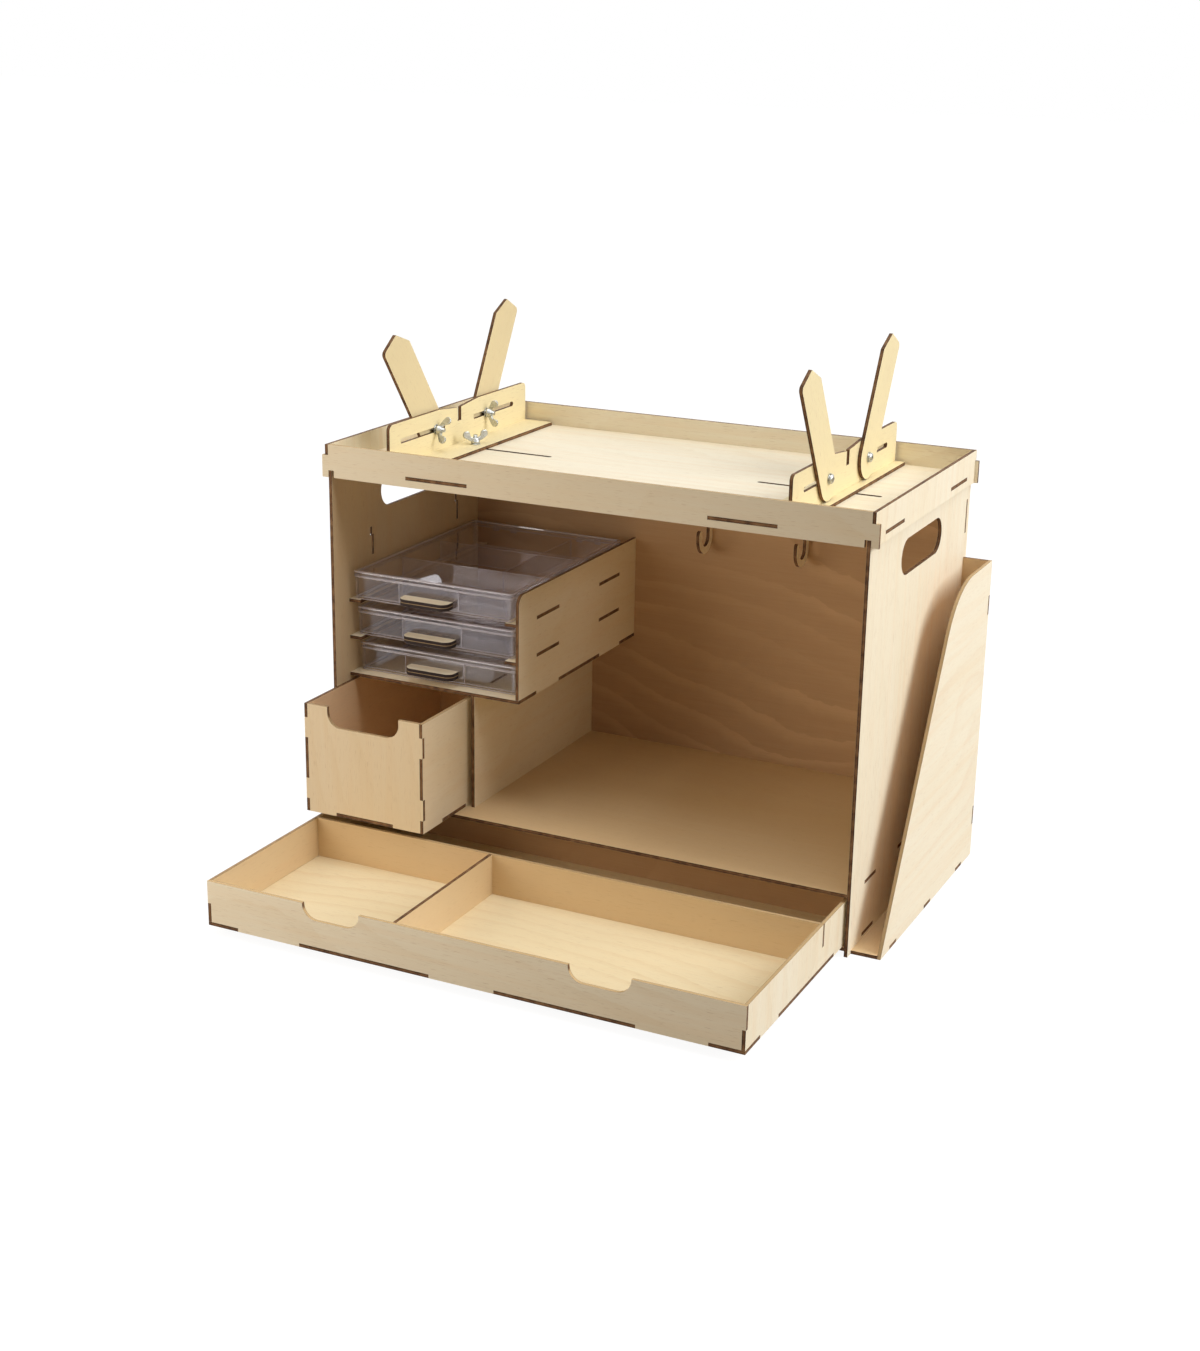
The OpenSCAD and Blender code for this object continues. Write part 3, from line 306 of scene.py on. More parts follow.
def birch(name, thin, grain, middle, painted_tone=0.0, rings=0.25, stain_and_shade=(SHADE_AMBER, 0.0), inner=0,
          lean=0.0, plies=1, repeat=0.0, lit_top=0.0):
    """Plywood for a board that is thin along one axis and has its grain along another.

    middle is the board's centre, painted_tone drifts it towards honey as painted shade and,
    below zero, away from honey as painted light, rings is how strongly the growth rings
    show, stain_and_shade is a colour and its share, painted shade where the board lies in
    shade and the clamps' own straw tone, and inner is 1 or -1 where only the face on that
    side of the board has it. lean turns the grain about X, plies counts the boards glued
    together (1 or 2), repeat is the step between boards that share the piece, and lit_top
    is how much painted light pales the upward-facing cut edges.
    """
    material, g = new_finish(name)
    here = g.node("ShaderNodeTexCoord", out="Object")
    centred = g.node("ShaderNodeMapping", {"vector_type": "TEXTURE"}, {
        "Vector": here, "Location": tuple(middle), "Rotation": (lean, 0.0, 0.0)})
    place = g.node("ShaderNodeSeparateXYZ", inputs=[centred])
    side = "XYZ".replace(grain, "").replace(thin, "")
    along, across, depth = (place.output(axis) for axis in (grain, side, thin))
    if repeat:
        depth = depth - repeat * round(depth / repeat)
    seed = sum(ord(letter) * (i + 1) for i, letter in enumerate(name)) % 97 / 7

    def pattern(repeats, layer, **settings):
        """Noise drawn out along the grain. Each layer lies at another depth of it."""
        return g.noise(
            g.vector(along * repeats[0], across * repeats[1], seed + layer), **settings)

    drift = pattern(DRIFT, 0).ramp(0.35, 0.68)
    fibre = pattern(FIBRE, 3)
    streak = pattern(STREAK, 5).ramp(0.4, 0.72)
    field = pattern(RING_FIELD, 9, distortion=0.2)
    feather = pattern(RING_FEATHER, 2)
    phase = (across * RINGS_A_METRE + field * RING_SWAY + feather * 0.3).fraction()
    faint = pattern(RING_FADE, 11).ramp(0.35, 0.65)
    ring = phase.ramp(0.5, 0.94) * phase.ramp(1.0, 0.96) * (faint * 0.8 + 0.2)
    pores = pattern(PORE, 1, detail=0).ramp(0.70, 0.78)

    # The tone moves the wood towards honey as painted shade on shaded drawer walls, and away from
    # it as painted light on brightly lit boards.
    wood = g.mix(drift * 0.3 + painted_tone, CREAM, HONEY)
    wood = g.mix(streak * 0.28, wood, PINK)
    # Painted shade: darkens and warms boards inside and at the front of the bench where they lie
    # in shade, on one face only where inner is set; on most clamp boards it is their own straw
    # tone.
    if stain_and_shade[1]:
        share = depth.ramp(0.0, inner * FACE_SKIN) * stain_and_shade[1] if inner else stain_and_shade[1]
        wood = g.mix(share, wood, stain_and_shade[0])
    wood = g.mix(ring * rings, wood, PALE_RING if inner else RING)
    wood = g.mix((1 - fibre) * 0.26, wood, RING)
    wood = g.mix(pores * 0.3, wood, FLECK)

    # in_board is 0 in the middle of one board's thickness and 1 on its faces.
    half = plies * PLY / 2
    from_middle = abs(depth) if plies == 1 else abs(abs(depth) - PLY / 2)
    in_board = from_middle / (PLY / 2)
    burn = g.noise(here, scale=160, detail=3)
    char = g.node("ShaderNodeValToRGB", {"stops": CHAR_STOPS}, [in_board])
    char = g.mix(burn.ramp(0.45, 0.75) * 0.5, char, TAN)
    char = g.mix(burn.ramp(0.5, 0.3) * 0.6, char, BISTRE)
    if plies > 1:
        char = g.mix(abs(depth).ramp(*GLUE_LINE), GLUE_TAN_AND_LIT_EDGE, SOOT)
    # Painted light: cut edges that face upwards are made pale where the light from above catches
    # them.
    if lit_top:
        upward = g.node("ShaderNodeSeparateXYZ", inputs=[here.output("Normal")]).output("Z")
        char = g.mix(upward.ramp(0.2, 0.45) * in_board.ramp(1.0, 0.8) * lit_top, char, GLUE_TAN_AND_LIT_EDGE)
    edge = 1 - abs(depth).ramp(half - FACE_SKIN, half - FACE_SKIN / 4)
    final = g.mix(edge, wood, char)

    height = fibre * 0.6 - pores * 0.5 + ring * 0.2
    bump = g.node("ShaderNodeBump", inputs={
        "Strength": 0.35, "Distance": 0.1 * MM, "Height": height})
    shader = g.node("ShaderNodeBsdfPrincipled", inputs={
        "Base Color": final, "Roughness": 0.52 + fibre * 0.16 + edge * 0.2, "Normal": bump,
        "Specular IOR Level": 0.35})
    g.node("ShaderNodeOutputMaterial", inputs=[shader])
    return material


print("birch: cream", [round(v, 2) for v in CREAM[:3]])

# %% [markdown]
# ## Which way each board's grain runs
#
# The thin axis of a board is the shortest side of its box. Hooks and runners are groups
# of boards in one node, so theirs is given, with the step from one board to the next.
# The grain runs along the board as it was nested on the sheet: upright on the sides and
# the small drawer's front, sideways on the back, the long fronts and the deck.
#
# No two boards are the same piece of wood, so their rings differ. The tables below say for
# each board how strongly its rings show; its tone, which is painted light on the brightly
# lit tray floor, right side, pocket panel and back rim and painted shade on the wide
# drawer's walls and floor; the colour and share of painted shade where the board lies in
# shade, inside and at the front of the bench, and on the left clamp arms; which face has
# it; and how much painted light pales its upward-facing cut edges.

# %% Dress the boards
GRAIN = {
    "left_side_panel": "Z", "right_side_panel": "Z", "back_panel": "X", "base_panel": "X",
    "deck_panel": "X", "bay_divider": "Y", "rack_floor": "X", "rack_side_panel": "Y",
    "pocket_outer_panel": "Y", "pocket_back_plate": "Z", "pocket_floor_plate": "Y",
    "tray_floor": "X", "tray_front_rim": "X", "tray_back_rim": "X",
    "tray_left_rim": "Z", "tray_right_rim": "Z",
    "small_drawer_front": "Z", "small_drawer_back": "Z", "small_drawer_left_side": "Y",
    "small_drawer_right_side": "Y", "small_drawer_bottom": "Y",
    "wide_drawer_front": "X", "wide_drawer_back": "X", "wide_drawer_left_side": "Y",
    "wide_drawer_right_side": "Z", "wide_drawer_bottom": "X",
    "wide_drawer_cross_wall": "X", "wide_drawer_divider": "Y",
    "bottom_box_pull": "X", "middle_box_pull": "X", "top_box_pull": "X",
}
RINGS = {
    "back_panel": 0.5, "deck_panel": 0.3, "pocket_outer_panel": 0.15, "tray_floor": 0.12,
    "right_side_panel": 0.1, "wide_drawer_bottom": 0.35,
}
PLAIN_RINGS = 0.18
# Painted light and shade: a paler tone on the lit tray floor, right side, pocket panel and back
# rim, a deeper honey on the shaded walls and floor of the wide drawer.
PAINTED_TONES = {
    "tray_floor": -0.15, "pocket_outer_panel": -0.15, "right_side_panel": -0.1,
    "tray_back_rim": -0.15, "wide_drawer_bottom": 0.2, "wide_drawer_left_side": 0.3,
    "wide_drawer_divider": 0.3,
}
INNER = {
    "back_panel": -1, "base_panel": 1, "left_side_panel": 1, "small_drawer_left_side": 1,
    "small_drawer_back": -1, "small_drawer_bottom": 1, "wide_drawer_back": -1,
    "wide_drawer_left_side": 1, "pocket_outer_panel": -1, "pocket_back_plate": -1,
    "pocket_floor_plate": 1,
}
# Colours of the painted shade where it is not amber: umber inside at the back, peach in the pocket
# and the small drawer, oat on the wide drawer's floor and the left clamp arms, grey on the tray's
# front rim.
SHADE_COLOURS = {
    "back_panel": DEEP_SHADE_UMBER, "base_panel": DEEP_SHADE_UMBER, "wide_drawer_back": DEEP_SHADE_UMBER,
    "pocket_outer_panel": WARM_SHADE_PEACH, "small_drawer_left_side": WARM_SHADE_PEACH,
    "small_drawer_back": WARM_SHADE_PEACH, "small_drawer_bottom": WARM_SHADE_PEACH,
    "left_clamp_front_arm": SHADE_OAT, "left_clamp_back_arm": SHADE_OAT, "wide_drawer_bottom": SHADE_OAT,
    "tray_front_rim": FRONT_SHADE_GREY,
}
# Share of painted shade on each board that lies in shade, inside the bench and its drawers and on
# the fronts.
PAINTED_SHADE = {
    "back_panel": 1.0, "base_panel": 1.0, "deck_panel": 0.8, "bay_divider": 0.3,
    "left_side_panel": 0.6, "rack_floor": 0.15, "rack_side_panel": 0.25,
    "small_drawer_back": 0.7, "small_drawer_left_side": 0.8, "small_drawer_bottom": 0.7,
    "small_drawer_right_side": 0.35, "small_drawer_front": 0.4, "wide_drawer_cross_wall": 0.8,
    "wide_drawer_back": 1.0, "wide_drawer_left_side": 0.6, "wide_drawer_divider": 0.65,
    "wide_drawer_bottom": 0.5, "pocket_back_plate": 0.8, "pocket_floor_plate": 0.8,
    "pocket_outer_panel": 1.0, "tray_front_rim": 0.5,
}
# Painted light: how pale the upward-facing cut edges of each board are made.
LIT_TOP_EDGES = {
    "tray_front_rim": 0.9, "wide_drawer_front": 0.9, "wide_drawer_right_side": 0.8,
    "wide_drawer_left_side": 0.4, "wide_drawer_cross_wall": 0.7, "small_drawer_front": 0.5,
    "small_drawer_right_side": 0.6, "pocket_outer_panel": 0.7,
}
HOOK_STEP = 93 * MM
RUNNER_STEP = 33.3 * MM
CLAMP_GRAIN = {"base_plate": "Y", "fence": "Y", "front_arm": "Z", "back_arm": "Z"}
CLAMP_RINGS = 0.08
CLAMP_STAIN = 0.85
LEAN = {  # in degrees, positive to the front
    "left_clamp_front_arm": 36, "left_clamp_back_arm": -28,
    "right_clamp_front_arm": 31, "right_clamp_back_arm": -28,
}


def dress(node, material):
    """Gives a CAD node one material."""
    slots = frame["nodes"][node].data.materials
    slots.clear()
    slots.append(material)


def centre_and_thin(node):
    """A board's centre and the axis of its shortest side."""
    low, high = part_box(node)
    sides = high - low
    return (low + high) / 2, "XYZ"[list(sides).index(min(sides))]


# Each board gets its grain and rings, and the painted light and shade from the tables.
for node, grain in GRAIN.items():
    middle, thin = centre_and_thin(node)
    dress(node, birch(
        "birch_" + node, thin, grain, middle, PAINTED_TONES.get(node, 0.0),
        RINGS.get(node, PLAIN_RINGS), (SHADE_COLOURS.get(node, SHADE_AMBER), PAINTED_SHADE.get(node, 0.0)),
        INNER.get(node, 0),
        plies=2 if node.endswith("pull") else 1, lit_top=LIT_TOP_EDGES.get(node, 0.0)))

hooks_low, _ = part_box("tool_hooks")
hook_middle = Vector((hooks_low.x + PLY / 2, hooks_low.y, hooks_low.z))
dress("tool_hooks", birch("birch_hooks", "X", "Z", hook_middle, repeat=HOOK_STEP))
runners_low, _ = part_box("box_runners")
runner_middle = Vector((runners_low.x, runners_low.y, runners_low.z + PLY / 2))
dress("box_runners", birch("birch_runners", "Z", "Y", runner_middle, repeat=RUNNER_STEP))

for side in ("left", "right"):
    for part, grain in CLAMP_GRAIN.items():
        node = f"{side}_clamp_{part}"
        middle, thin = centre_and_thin(node)
        # The left clamp arms get painted shade, as they lie further from the light; the other
        # clamp boards keep their own straw tone.
        dress(node, birch(
            "birch_" + node, thin, grain, middle, rings=CLAMP_RINGS,
            stain_and_shade=(SHADE_COLOURS.get(node, STRAW), CLAMP_STAIN), lean=math.radians(LEAN.get(node, 0))))
print("finishes on boards:", sum(m.name.startswith("birch_") for m in bpy.data.materials))

# %% [markdown]
# ## Clear plastic
#
# Polystyrene boxes are clear, faintly violet in thick places, and shiny. Refraction in
# thin flat walls hardly bends the view, so the finish lets light straight through and
# adds what the eye really notices: reflections that grow at a flat angle, and edges and
# corners that look denser. There the colour is paler and less clear, partly for the plastic
# seen edge-on and partly as a painted highlight, and the compartment walls get some of it
# all over as a painted sheen. The attribute "rim" marks those edges on each mesh. A Fresnel
# node would turn the inner side of each wall into a full mirror, as inside a prism, so
# the reflection is worked out from the slant of the view instead, alike on both sides.

# %% Plastic finish
CLEAR = colour(142, 131, 137)
# Paler plastic at bends and on compartment walls: partly the plastic seen edge-on, partly a
# painted highlight.
DENSE_AND_HIGHLIGHT = colour(208, 201, 210)
GLOSS = (0.9, 0.87, 0.93, 1.0)
GLASSY = 1.59  # polystyrene's index of refraction
FACE_ON = 0.036  # the share that a wall reflects when seen square on
GRAZING = 5.0  # how suddenly that share grows at a flat angle
SCUFFS = (900, 60, 60)  # repeats a metre along each axis


def clear_plastic():
    material, g = new_finish("clear_plastic")
    here = g.node("ShaderNodeTexCoord", out="Object")
    bend = g.node("ShaderNodeAttribute", {"attribute_name": "rim"}, out="Fac")
    rim = bend * bend
    slant = g.node("ShaderNodeLayerWeight", inputs={"Blend": 0.5}, out="Facing")
    haze = g.noise(here, scale=45, detail=3)
    place = g.node("ShaderNodeSeparateXYZ", inputs=[here])
    drawn = g.vector(*(place.output(axis) * many for axis, many in zip("XYZ", SCUFFS)))
    scuffs = g.noise(drawn, detail=1)
    # Where rim is high the colour is paler and less clear: partly thicker plastic seen edge-on,
    # partly a painted highlight.
    body = g.mix(rim, CLEAR, DENSE_AND_HIGHLIGHT)
    cover = 0.012 + haze * 0.02 + slant * 0.03 + rim * 0.62
    shader = g.node("ShaderNodeBsdfPrincipled", inputs={
        "Base Color": body, "Roughness": 0.05 + haze * 0.05 + scuffs.ramp(0.62, 0.8) * 0.1,
        "Alpha": cover, "IOR": GLASSY, "Specular IOR Level": 0.8})
    gloss = g.node("ShaderNodeBsdfPrincipled", inputs={
        "Base Color": GLOSS, "Metallic": 1.0, "Roughness": 0.04})
    mirror = FACE_ON + (1 - FACE_ON) * slant.math("POWER", slant, GRAZING)
    mixed = g.node("ShaderNodeMixShader", inputs=[mirror, shader, gloss])
    g.node("ShaderNodeOutputMaterial", inputs=[mixed])
    return material


CLEAR_PLASTIC = clear_plastic()
print("plastic ready")

# %% [markdown]
# ## Meshes by loft
#
# A moulded box is a stack of rounded rectangles: each ring is drawn in from the outside
# by some inset at some height. Rings that go up the outside, over the rim and down the
# inside, with a cap at both ends, give one closed shell whose faces all point outwards.
# Quarter rounds are worked out from their radius, so every edge of the moulding is soft.

# %% Shell tools
CORNER_STEPS = 7
FILLET_STEPS = 4
LEAST_RADIUS = 0.3 * MM
SUPPORT = 1.2 * MM  # from a round to the row that keeps the face beside it flat
SHARP = math.radians(32)


def rounded_ring(low, high, radius, inset, z):
    """A rounded rectangle at height z, counter-clockwise seen from above.

    Each corner has one more point on either side of it, so the straight sides stay flat.
    """
    r = max(radius - inset, LEAST_RADIUS)
    left, front = low.x + inset + r, low.y + inset + r
    right, rear = high.x - inset - r, high.y - inset - r
    corners = ((right, rear, 0), (left, rear, 90), (left, front, 180), (right, front, 270))
    ring = []
    for x, y, start in corners:
        arc = []
        for step in range(CORNER_STEPS + 1):
            turn = math.radians(start + 90 * step / CORNER_STEPS)
            arc.append(Vector((x + r * math.cos(turn), y + r * math.sin(turn), z)))
        turn = math.radians(start)
        before = Vector((math.sin(turn), -math.cos(turn), 0)) * SUPPORT
        after = Vector((-math.cos(turn), -math.sin(turn), 0)) * SUPPORT
        ring += [arc[0] + before] + arc + [arc[-1] + after]
    return ring


def fillet(inset, z, along_inset, along_z, wide_first):
    """Insets and heights of a quarter round that starts at a point.

    along_inset and along_z are its signed sizes. With wide_first the round leaves along
    the inset, otherwise along the height.
    """
    steps = []
    for step in range(1, FILLET_STEPS + 1):
        turn = math.pi / 2 * step / FILLET_STEPS
        fast, slow = math.sin(turn), 1 - math.cos(turn)
        share_inset, share_z = (fast, slow) if wide_first else (slow, fast)
        steps.append((inset + along_inset * share_inset, z + along_z * share_z))
    return steps


def add_shell(bm, rings):
    """Joins rings of equal length into a closed shell: first cap down, last cap up."""
    layers = [[bm.verts.new(point) for point in ring] for ring in rings]
    count = len(layers[0])
    for below, above in zip(layers, layers[1:]):
        for i in range(count):
            j = (i + 1) % count
            bm.faces.new((below[i], below[j], above[j], above[i]))
    bm.faces.new(list(reversed(layers[0])))
    bm.faces.new(layers[-1])


def settle_order(bm):
    """Numbers points and faces by where they lie. A bevel's own order varies by the run."""
    for i, vert in enumerate(sorted(bm.verts, key=lambda vert: tuple(vert.co))):
        vert.index = i
    bm.verts.sort()
    for i, face in enumerate(sorted(bm.faces, key=lambda face: sorted(
            vert.index for vert in face.verts))):
        face.index = i
    bm.faces.sort()


def add_block(bm, low, high, bevel):
    """A block with soft edges, whose wide faces have a flat field inside their border."""
    made = bmesh.ops.create_cube(bm, size=1.0)
    corners = made["verts"]
    size, middle = high - low, (high + low) / 2
    bmesh.ops.scale(bm, vec=size, verts=corners)
    bmesh.ops.translate(bm, vec=middle, verts=corners)
    edges = list({edge for corner in corners for edge in corner.link_edges})
    bevelled = bmesh.ops.bevel(
        bm, geom=edges, offset=bevel, segments=2, profile=0.5, affect="EDGES")
    around = {face for vert in bevelled["verts"] for face in vert.link_faces}
    wide = [face for face in around
            if min(edge.calc_length() for edge in face.edges) > 3 * SUPPORT]
    bmesh.ops.inset_individual(bm, faces=wide, thickness=SUPPORT / 2)


def add_lathe(bm, profile, place, steps=32):
    """Turns a profile of (radius, height) pairs round the Z axis, then puts it in place.

    A radius of zero closes the form at a pole. A profile that ends where it starts, as
    a ring's does, closes on itself.
    """
    closed = profile[0] == profile[-1]
    points = profile[:-1] if closed else profile
    layers = []
    for radius, height in points:
        if radius == 0:
            layers.append([bm.verts.new(place @ Vector((0, 0, height)))])
            continue
        layers.append([
            bm.verts.new(place @ Vector((
                radius * math.cos(2 * math.pi * i / steps),
                radius * math.sin(2 * math.pi * i / steps), height)))
            for i in range(steps)])
    pairs = list(zip(layers, layers[1:] + layers[:1])) if closed else list(zip(layers, layers[1:]))
    for below, above in pairs:
        for i in range(steps):
            j = (i + 1) % steps
            if len(below) == 1:
                bm.faces.new((below[0], above[j], above[i]))
            elif len(above) == 1:
                bm.faces.new((below[i], below[j], above[0]))
            else:
                bm.faces.new((below[i], below[j], above[j], above[i]))


def solid_object(name, bm):
    """An object in the scene with a bmesh as its mesh."""
    mesh = bpy.data.meshes.new(name)
    bm.to_mesh(mesh)
    bm.free()
    made = bpy.data.objects.new(name, mesh)
    bpy.context.scene.collection.objects.link(made)
    return made


def settled_mesh(holder):
    """The mesh of an object with its modifiers applied. The object itself is removed."""
    depsgraph = bpy.context.evaluated_depsgraph_get()
    mesh = bpy.data.meshes.new_from_object(holder.evaluated_get(depsgraph))
    bpy.data.objects.remove(holder)
    return mesh


def new_piece(name, bm, material, slot, body, *stands_for):
    """Turns a bmesh into a piece that rides on a body and stands for CAD nodes."""
    piece = solid_object(name, bm)
    mesh = piece.data
    mesh.materials.append(material)
    mesh.shade_smooth()
    mesh.set_sharp_from_angle(angle=SHARP)
    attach(piece, body)
    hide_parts(*stands_for)
    print(f"{name}: {len(mesh.polygons)} faces")
    return piece


# %% [markdown]
# ## The small-parts boxes
#
# Each box is a tub with a rounded floor, compartment walls in the same moulding, a latch
# plate behind the wooden pull, and a lid whose top is a gently pillowed panel, sunk a
# little below its border. A hinge of round knuckles on a pin joins them at the rear.
# Walls and hinges are placed by their shares of the box's depth and width.

# %% Boxes
BOX_RADIUS = 5 * MM
WALL = 1.6 * MM
FLOOR_ROUND = 2.0 * MM
EDGE_ROUND = 0.6 * MM
TUB_PLAY = 0.1 * MM
SUNK = 0.3 * MM  # how deep one part of the moulding reaches into another

LID_BORDER = 3.2 * MM
LID_LIP = 1.0 * MM
LID_ROUND = 1.2 * MM
LID_STEP = 0.4 * MM
LID_SINK = 1.1 * MM
LID_EXTRA = 0.2 * MM  # how much thicker the lid's top is than a wall
PILLOW = 40 * MM
PILLOW_RISE = 0.9 * MM
PILLOW_STEPS = (0, 0.03, 0.2, 0.4, 0.6, 0.8, 1.0)

CROSS_WALLS = (0.375, 0.69)
SPLIT_WALL = 0.67
RIB = 1.5 * MM
RIB_SOFT = 0.35 * MM
RIB_DROP = 1.0 * MM

LATCH_MARGIN = 6 * MM
LATCH_THICK = 0.7 * MM
LATCH_LOW = 3.0 * MM
LATCH_HIGH = 1.2 * MM
LATCH_SOFT = 0.3 * MM

HINGES = (0.22, 0.78)
HINGE_END = 12.3 * MM
HINGE_HALF = 6 * MM
HINGE_STEPS = 20
KNUCKLE = 1.5 * MM
PIN = 0.7 * MM
ROD_SOFT = 0.2 * MM
EAR_LOW, EAR_HIGH, EAR_BACK = 3 * MM, 0.1 * MM, 0.2 * MM  # below and ahead of the pin
EAR_SOFT = 0.15 * MM

# Share of the pale edge colour on compartment walls: a painted sheen for the light they catch.
WALL_VEIL_AND_SHEEN = 0.62
FULL_BEND = math.radians(22)  # a bend of this angle or more counts as a full rim


def mark_rims(mesh, hollow=None):
    """Stores 1 where the surface bends strongly, and 0 on flat ground.

    hollow is the box of a tub's inside. What stands in it is a compartment wall, which
    looks a little denser all over: a pale painted sheen for the light such a wall catches.
    """
    values = [0.0] * len(mesh.vertices)
    bm = bmesh.new()
    bm.from_mesh(mesh)
    for vert in bm.verts:
        bend = max((edge.calc_face_angle(0.0) for edge in vert.link_edges), default=0.0)
        values[vert.index] = min(1.0, bend / FULL_BEND)
        if hollow and all(hollow[0][i] < vert.co[i] < hollow[1][i] for i in range(3)):
            values[vert.index] = max(WALL_VEIL_AND_SHEEN, values[vert.index])
    bm.free()
    mesh.attributes.new("rim", "FLOAT", "POINT").data.foreach_set("value", values)


def rod_along_x(start, end, radius):
    """Profile and place of a soft-ended rod along X."""
    length = end.x - start.x
    soft = min(ROD_SOFT, radius / 3)
    profile = [
        (0, 0), (radius - soft, 0), (radius, soft), (radius, length - soft),
        (radius - soft, length), (0, length)]
    return profile, Matrix.Translation(start) @ Matrix.Rotation(math.pi / 2, 4, "Y")


def add_rods(bm, axis_y, axis_z, spans, radius):
    """Rods on one axis along X, each from the first to the last x of its span."""
    for first, last in spans:
        profile, place = rod_along_x(
            Vector((first, axis_y, axis_z)), Vector((last, axis_y, axis_z)), radius)
        add_lathe(bm, profile, place, steps=HINGE_STEPS)


def box_sizes(level):
    """The low and high corner of a box with its lid, and the height where they meet."""
    lid_low, lid_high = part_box(level + "_box_lid")
    tub_low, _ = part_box(level + "_box_tub")
    low = Vector((lid_low.x, lid_low.y, tub_low.z))
    high = Vector((lid_high.x, lid_high.y - KNUCKLE, lid_high.z))
    return low, high, lid_low.z + KNUCKLE


def tub_rings(low, high, top):
    """Up the outside of a tub, over its rim and down to the floor inside."""
    floor = low.z + WALL
    outside = LID_LIP
    inside = LID_LIP + WALL
    steps = [(outside + FLOOR_ROUND + SUPPORT, low.z), (outside + FLOOR_ROUND, low.z)]
    steps += fillet(outside + FLOOR_ROUND, low.z, -FLOOR_ROUND, FLOOR_ROUND, True)
    steps += [(outside, low.z + FLOOR_ROUND + SUPPORT), (outside, top - EDGE_ROUND - SUPPORT)]
    steps += [(outside, top - EDGE_ROUND)]
    steps += fillet(outside, top - EDGE_ROUND, EDGE_ROUND, EDGE_ROUND, False)
    steps += [(inside - EDGE_ROUND, top)]
    steps += fillet(inside - EDGE_ROUND, top, EDGE_ROUND, -EDGE_ROUND, True)
    steps += [(inside, top - EDGE_ROUND - SUPPORT), (inside, floor + FLOOR_ROUND + SUPPORT)]
    steps += [(inside, floor + FLOOR_ROUND)]
    steps += fillet(inside, floor + FLOOR_ROUND, FLOOR_ROUND, -FLOOR_ROUND, False)
    steps += [(inside + FLOOR_ROUND + SUPPORT, floor)]
    return [rounded_ring(low, high, BOX_RADIUS, inset, z) for inset, z in steps]


def add_compartments(bm, low, high, top):
    """Two walls across the tub, and one from the first of them to the rear."""
    inside = LID_LIP + WALL - SUNK
    bottom, wall_top = low.z + WALL - SUNK, top - RIB_DROP
    depth, width = high.y - low.y, high.x - low.x
    for share in CROSS_WALLS:
        y = low.y + share * depth
        add_block(bm, Vector((low.x + inside, y - RIB / 2, bottom)),
                  Vector((high.x - inside, y + RIB / 2, wall_top)), RIB_SOFT)
    x = low.x + SPLIT_WALL * width
    add_block(bm, Vector((x - RIB / 2, low.y + CROSS_WALLS[0] * depth, bottom)),
              Vector((x + RIB / 2, high.y - inside, wall_top)), RIB_SOFT)


def add_hinge_half(bm, low, high, joint):
    """The tub's knuckles with the pin through them, and an ear under each knuckle."""
    for share in HINGES:
        x = low.x + share * (high.x - low.x)
        start, end = x - HINGE_END, x + HINGE_END
        spans = ((start, start + HINGE_HALF), (end - HINGE_HALF, end))
        add_rods(bm, high.y, joint, spans, KNUCKLE)
        add_rods(bm, high.y, joint, ((start, end),), PIN)
        for first, last in spans:
            add_block(bm, Vector((first, high.y - LID_LIP - SUNK, joint - EAR_LOW)),
                      Vector((last, high.y - EAR_BACK, joint - EAR_HIGH)), EAR_SOFT)


def make_tub(level, body):
    low, high, joint = box_sizes(level)
    top = joint - TUB_PLAY
    bm = bmesh.new()
    add_shell(bm, tub_rings(low, high, top))
    add_compartments(bm, low, high, top)
    pull_low, pull_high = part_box(level + "_box_pull")
    front = low.y + LID_LIP
    add_block(
        bm, Vector((pull_low.x - LATCH_MARGIN, front - LATCH_THICK, low.z + LATCH_LOW)),
        Vector((pull_high.x + LATCH_MARGIN, front + SUNK, joint + LATCH_HIGH)), LATCH_SOFT)
    add_hinge_half(bm, low, high, joint)
    settle_order(bm)
    name = level + "_box_clear_tub"
    tub = new_piece(name, bm, CLEAR_PLASTIC, "clear_plastic", body, level + "_box_tub")
    inside = LID_LIP + WALL
    play = Vector((inside, inside, WALL)) + Vector((1, 1, 1)) * SUNK
    mark_rims(tub.data, (low + play, high - play))


def make_lid(level, body):
    low, high, joint = box_sizes(level)
    top = high.z
    inside = LID_LIP + WALL
    ceiling = top - WALL - LID_EXTRA
    brim = LID_BORDER + LID_STEP
    steps = [(inside + SUPPORT, ceiling), (inside, ceiling), (inside, ceiling - SUPPORT)]
    steps += [(inside, joint + EDGE_ROUND / 2), (inside - EDGE_ROUND / 2, joint)]
    steps += [(EDGE_ROUND / 2, joint), (0, joint + EDGE_ROUND / 2), (0, joint + SUPPORT)]
    steps += [(0, top - LID_ROUND - SUPPORT), (0, top - LID_ROUND)]
    steps += fillet(0, top - LID_ROUND, LID_ROUND, LID_ROUND, False)
    steps += [(LID_BORDER - SUPPORT, top), (LID_BORDER, top)]
    steps += [(brim + PILLOW * share, top - LID_SINK + PILLOW_RISE * (1 - (1 - share) ** 2))
              for share in PILLOW_STEPS]
    bm = bmesh.new()
    add_shell(bm, [rounded_ring(low, high, BOX_RADIUS, inset, z) for inset, z in steps])
    width = high.x - low.x
    for share in HINGES:
        x = low.x + share * width
        add_rods(bm, high.y, joint, ((x - HINGE_HALF, x + HINGE_HALF),), KNUCKLE)
    name = level + "_box_clear_lid"
    lid = new_piece(name, bm, CLEAR_PLASTIC, "clear_plastic", body, level + "_box_lid")
    mark_rims(lid.data)


for level in ("bottom", "middle", "top"):
    make_tub(level, level + "_box")
    make_lid(level, "top_box_lid" if level == "top" else level + "_box")

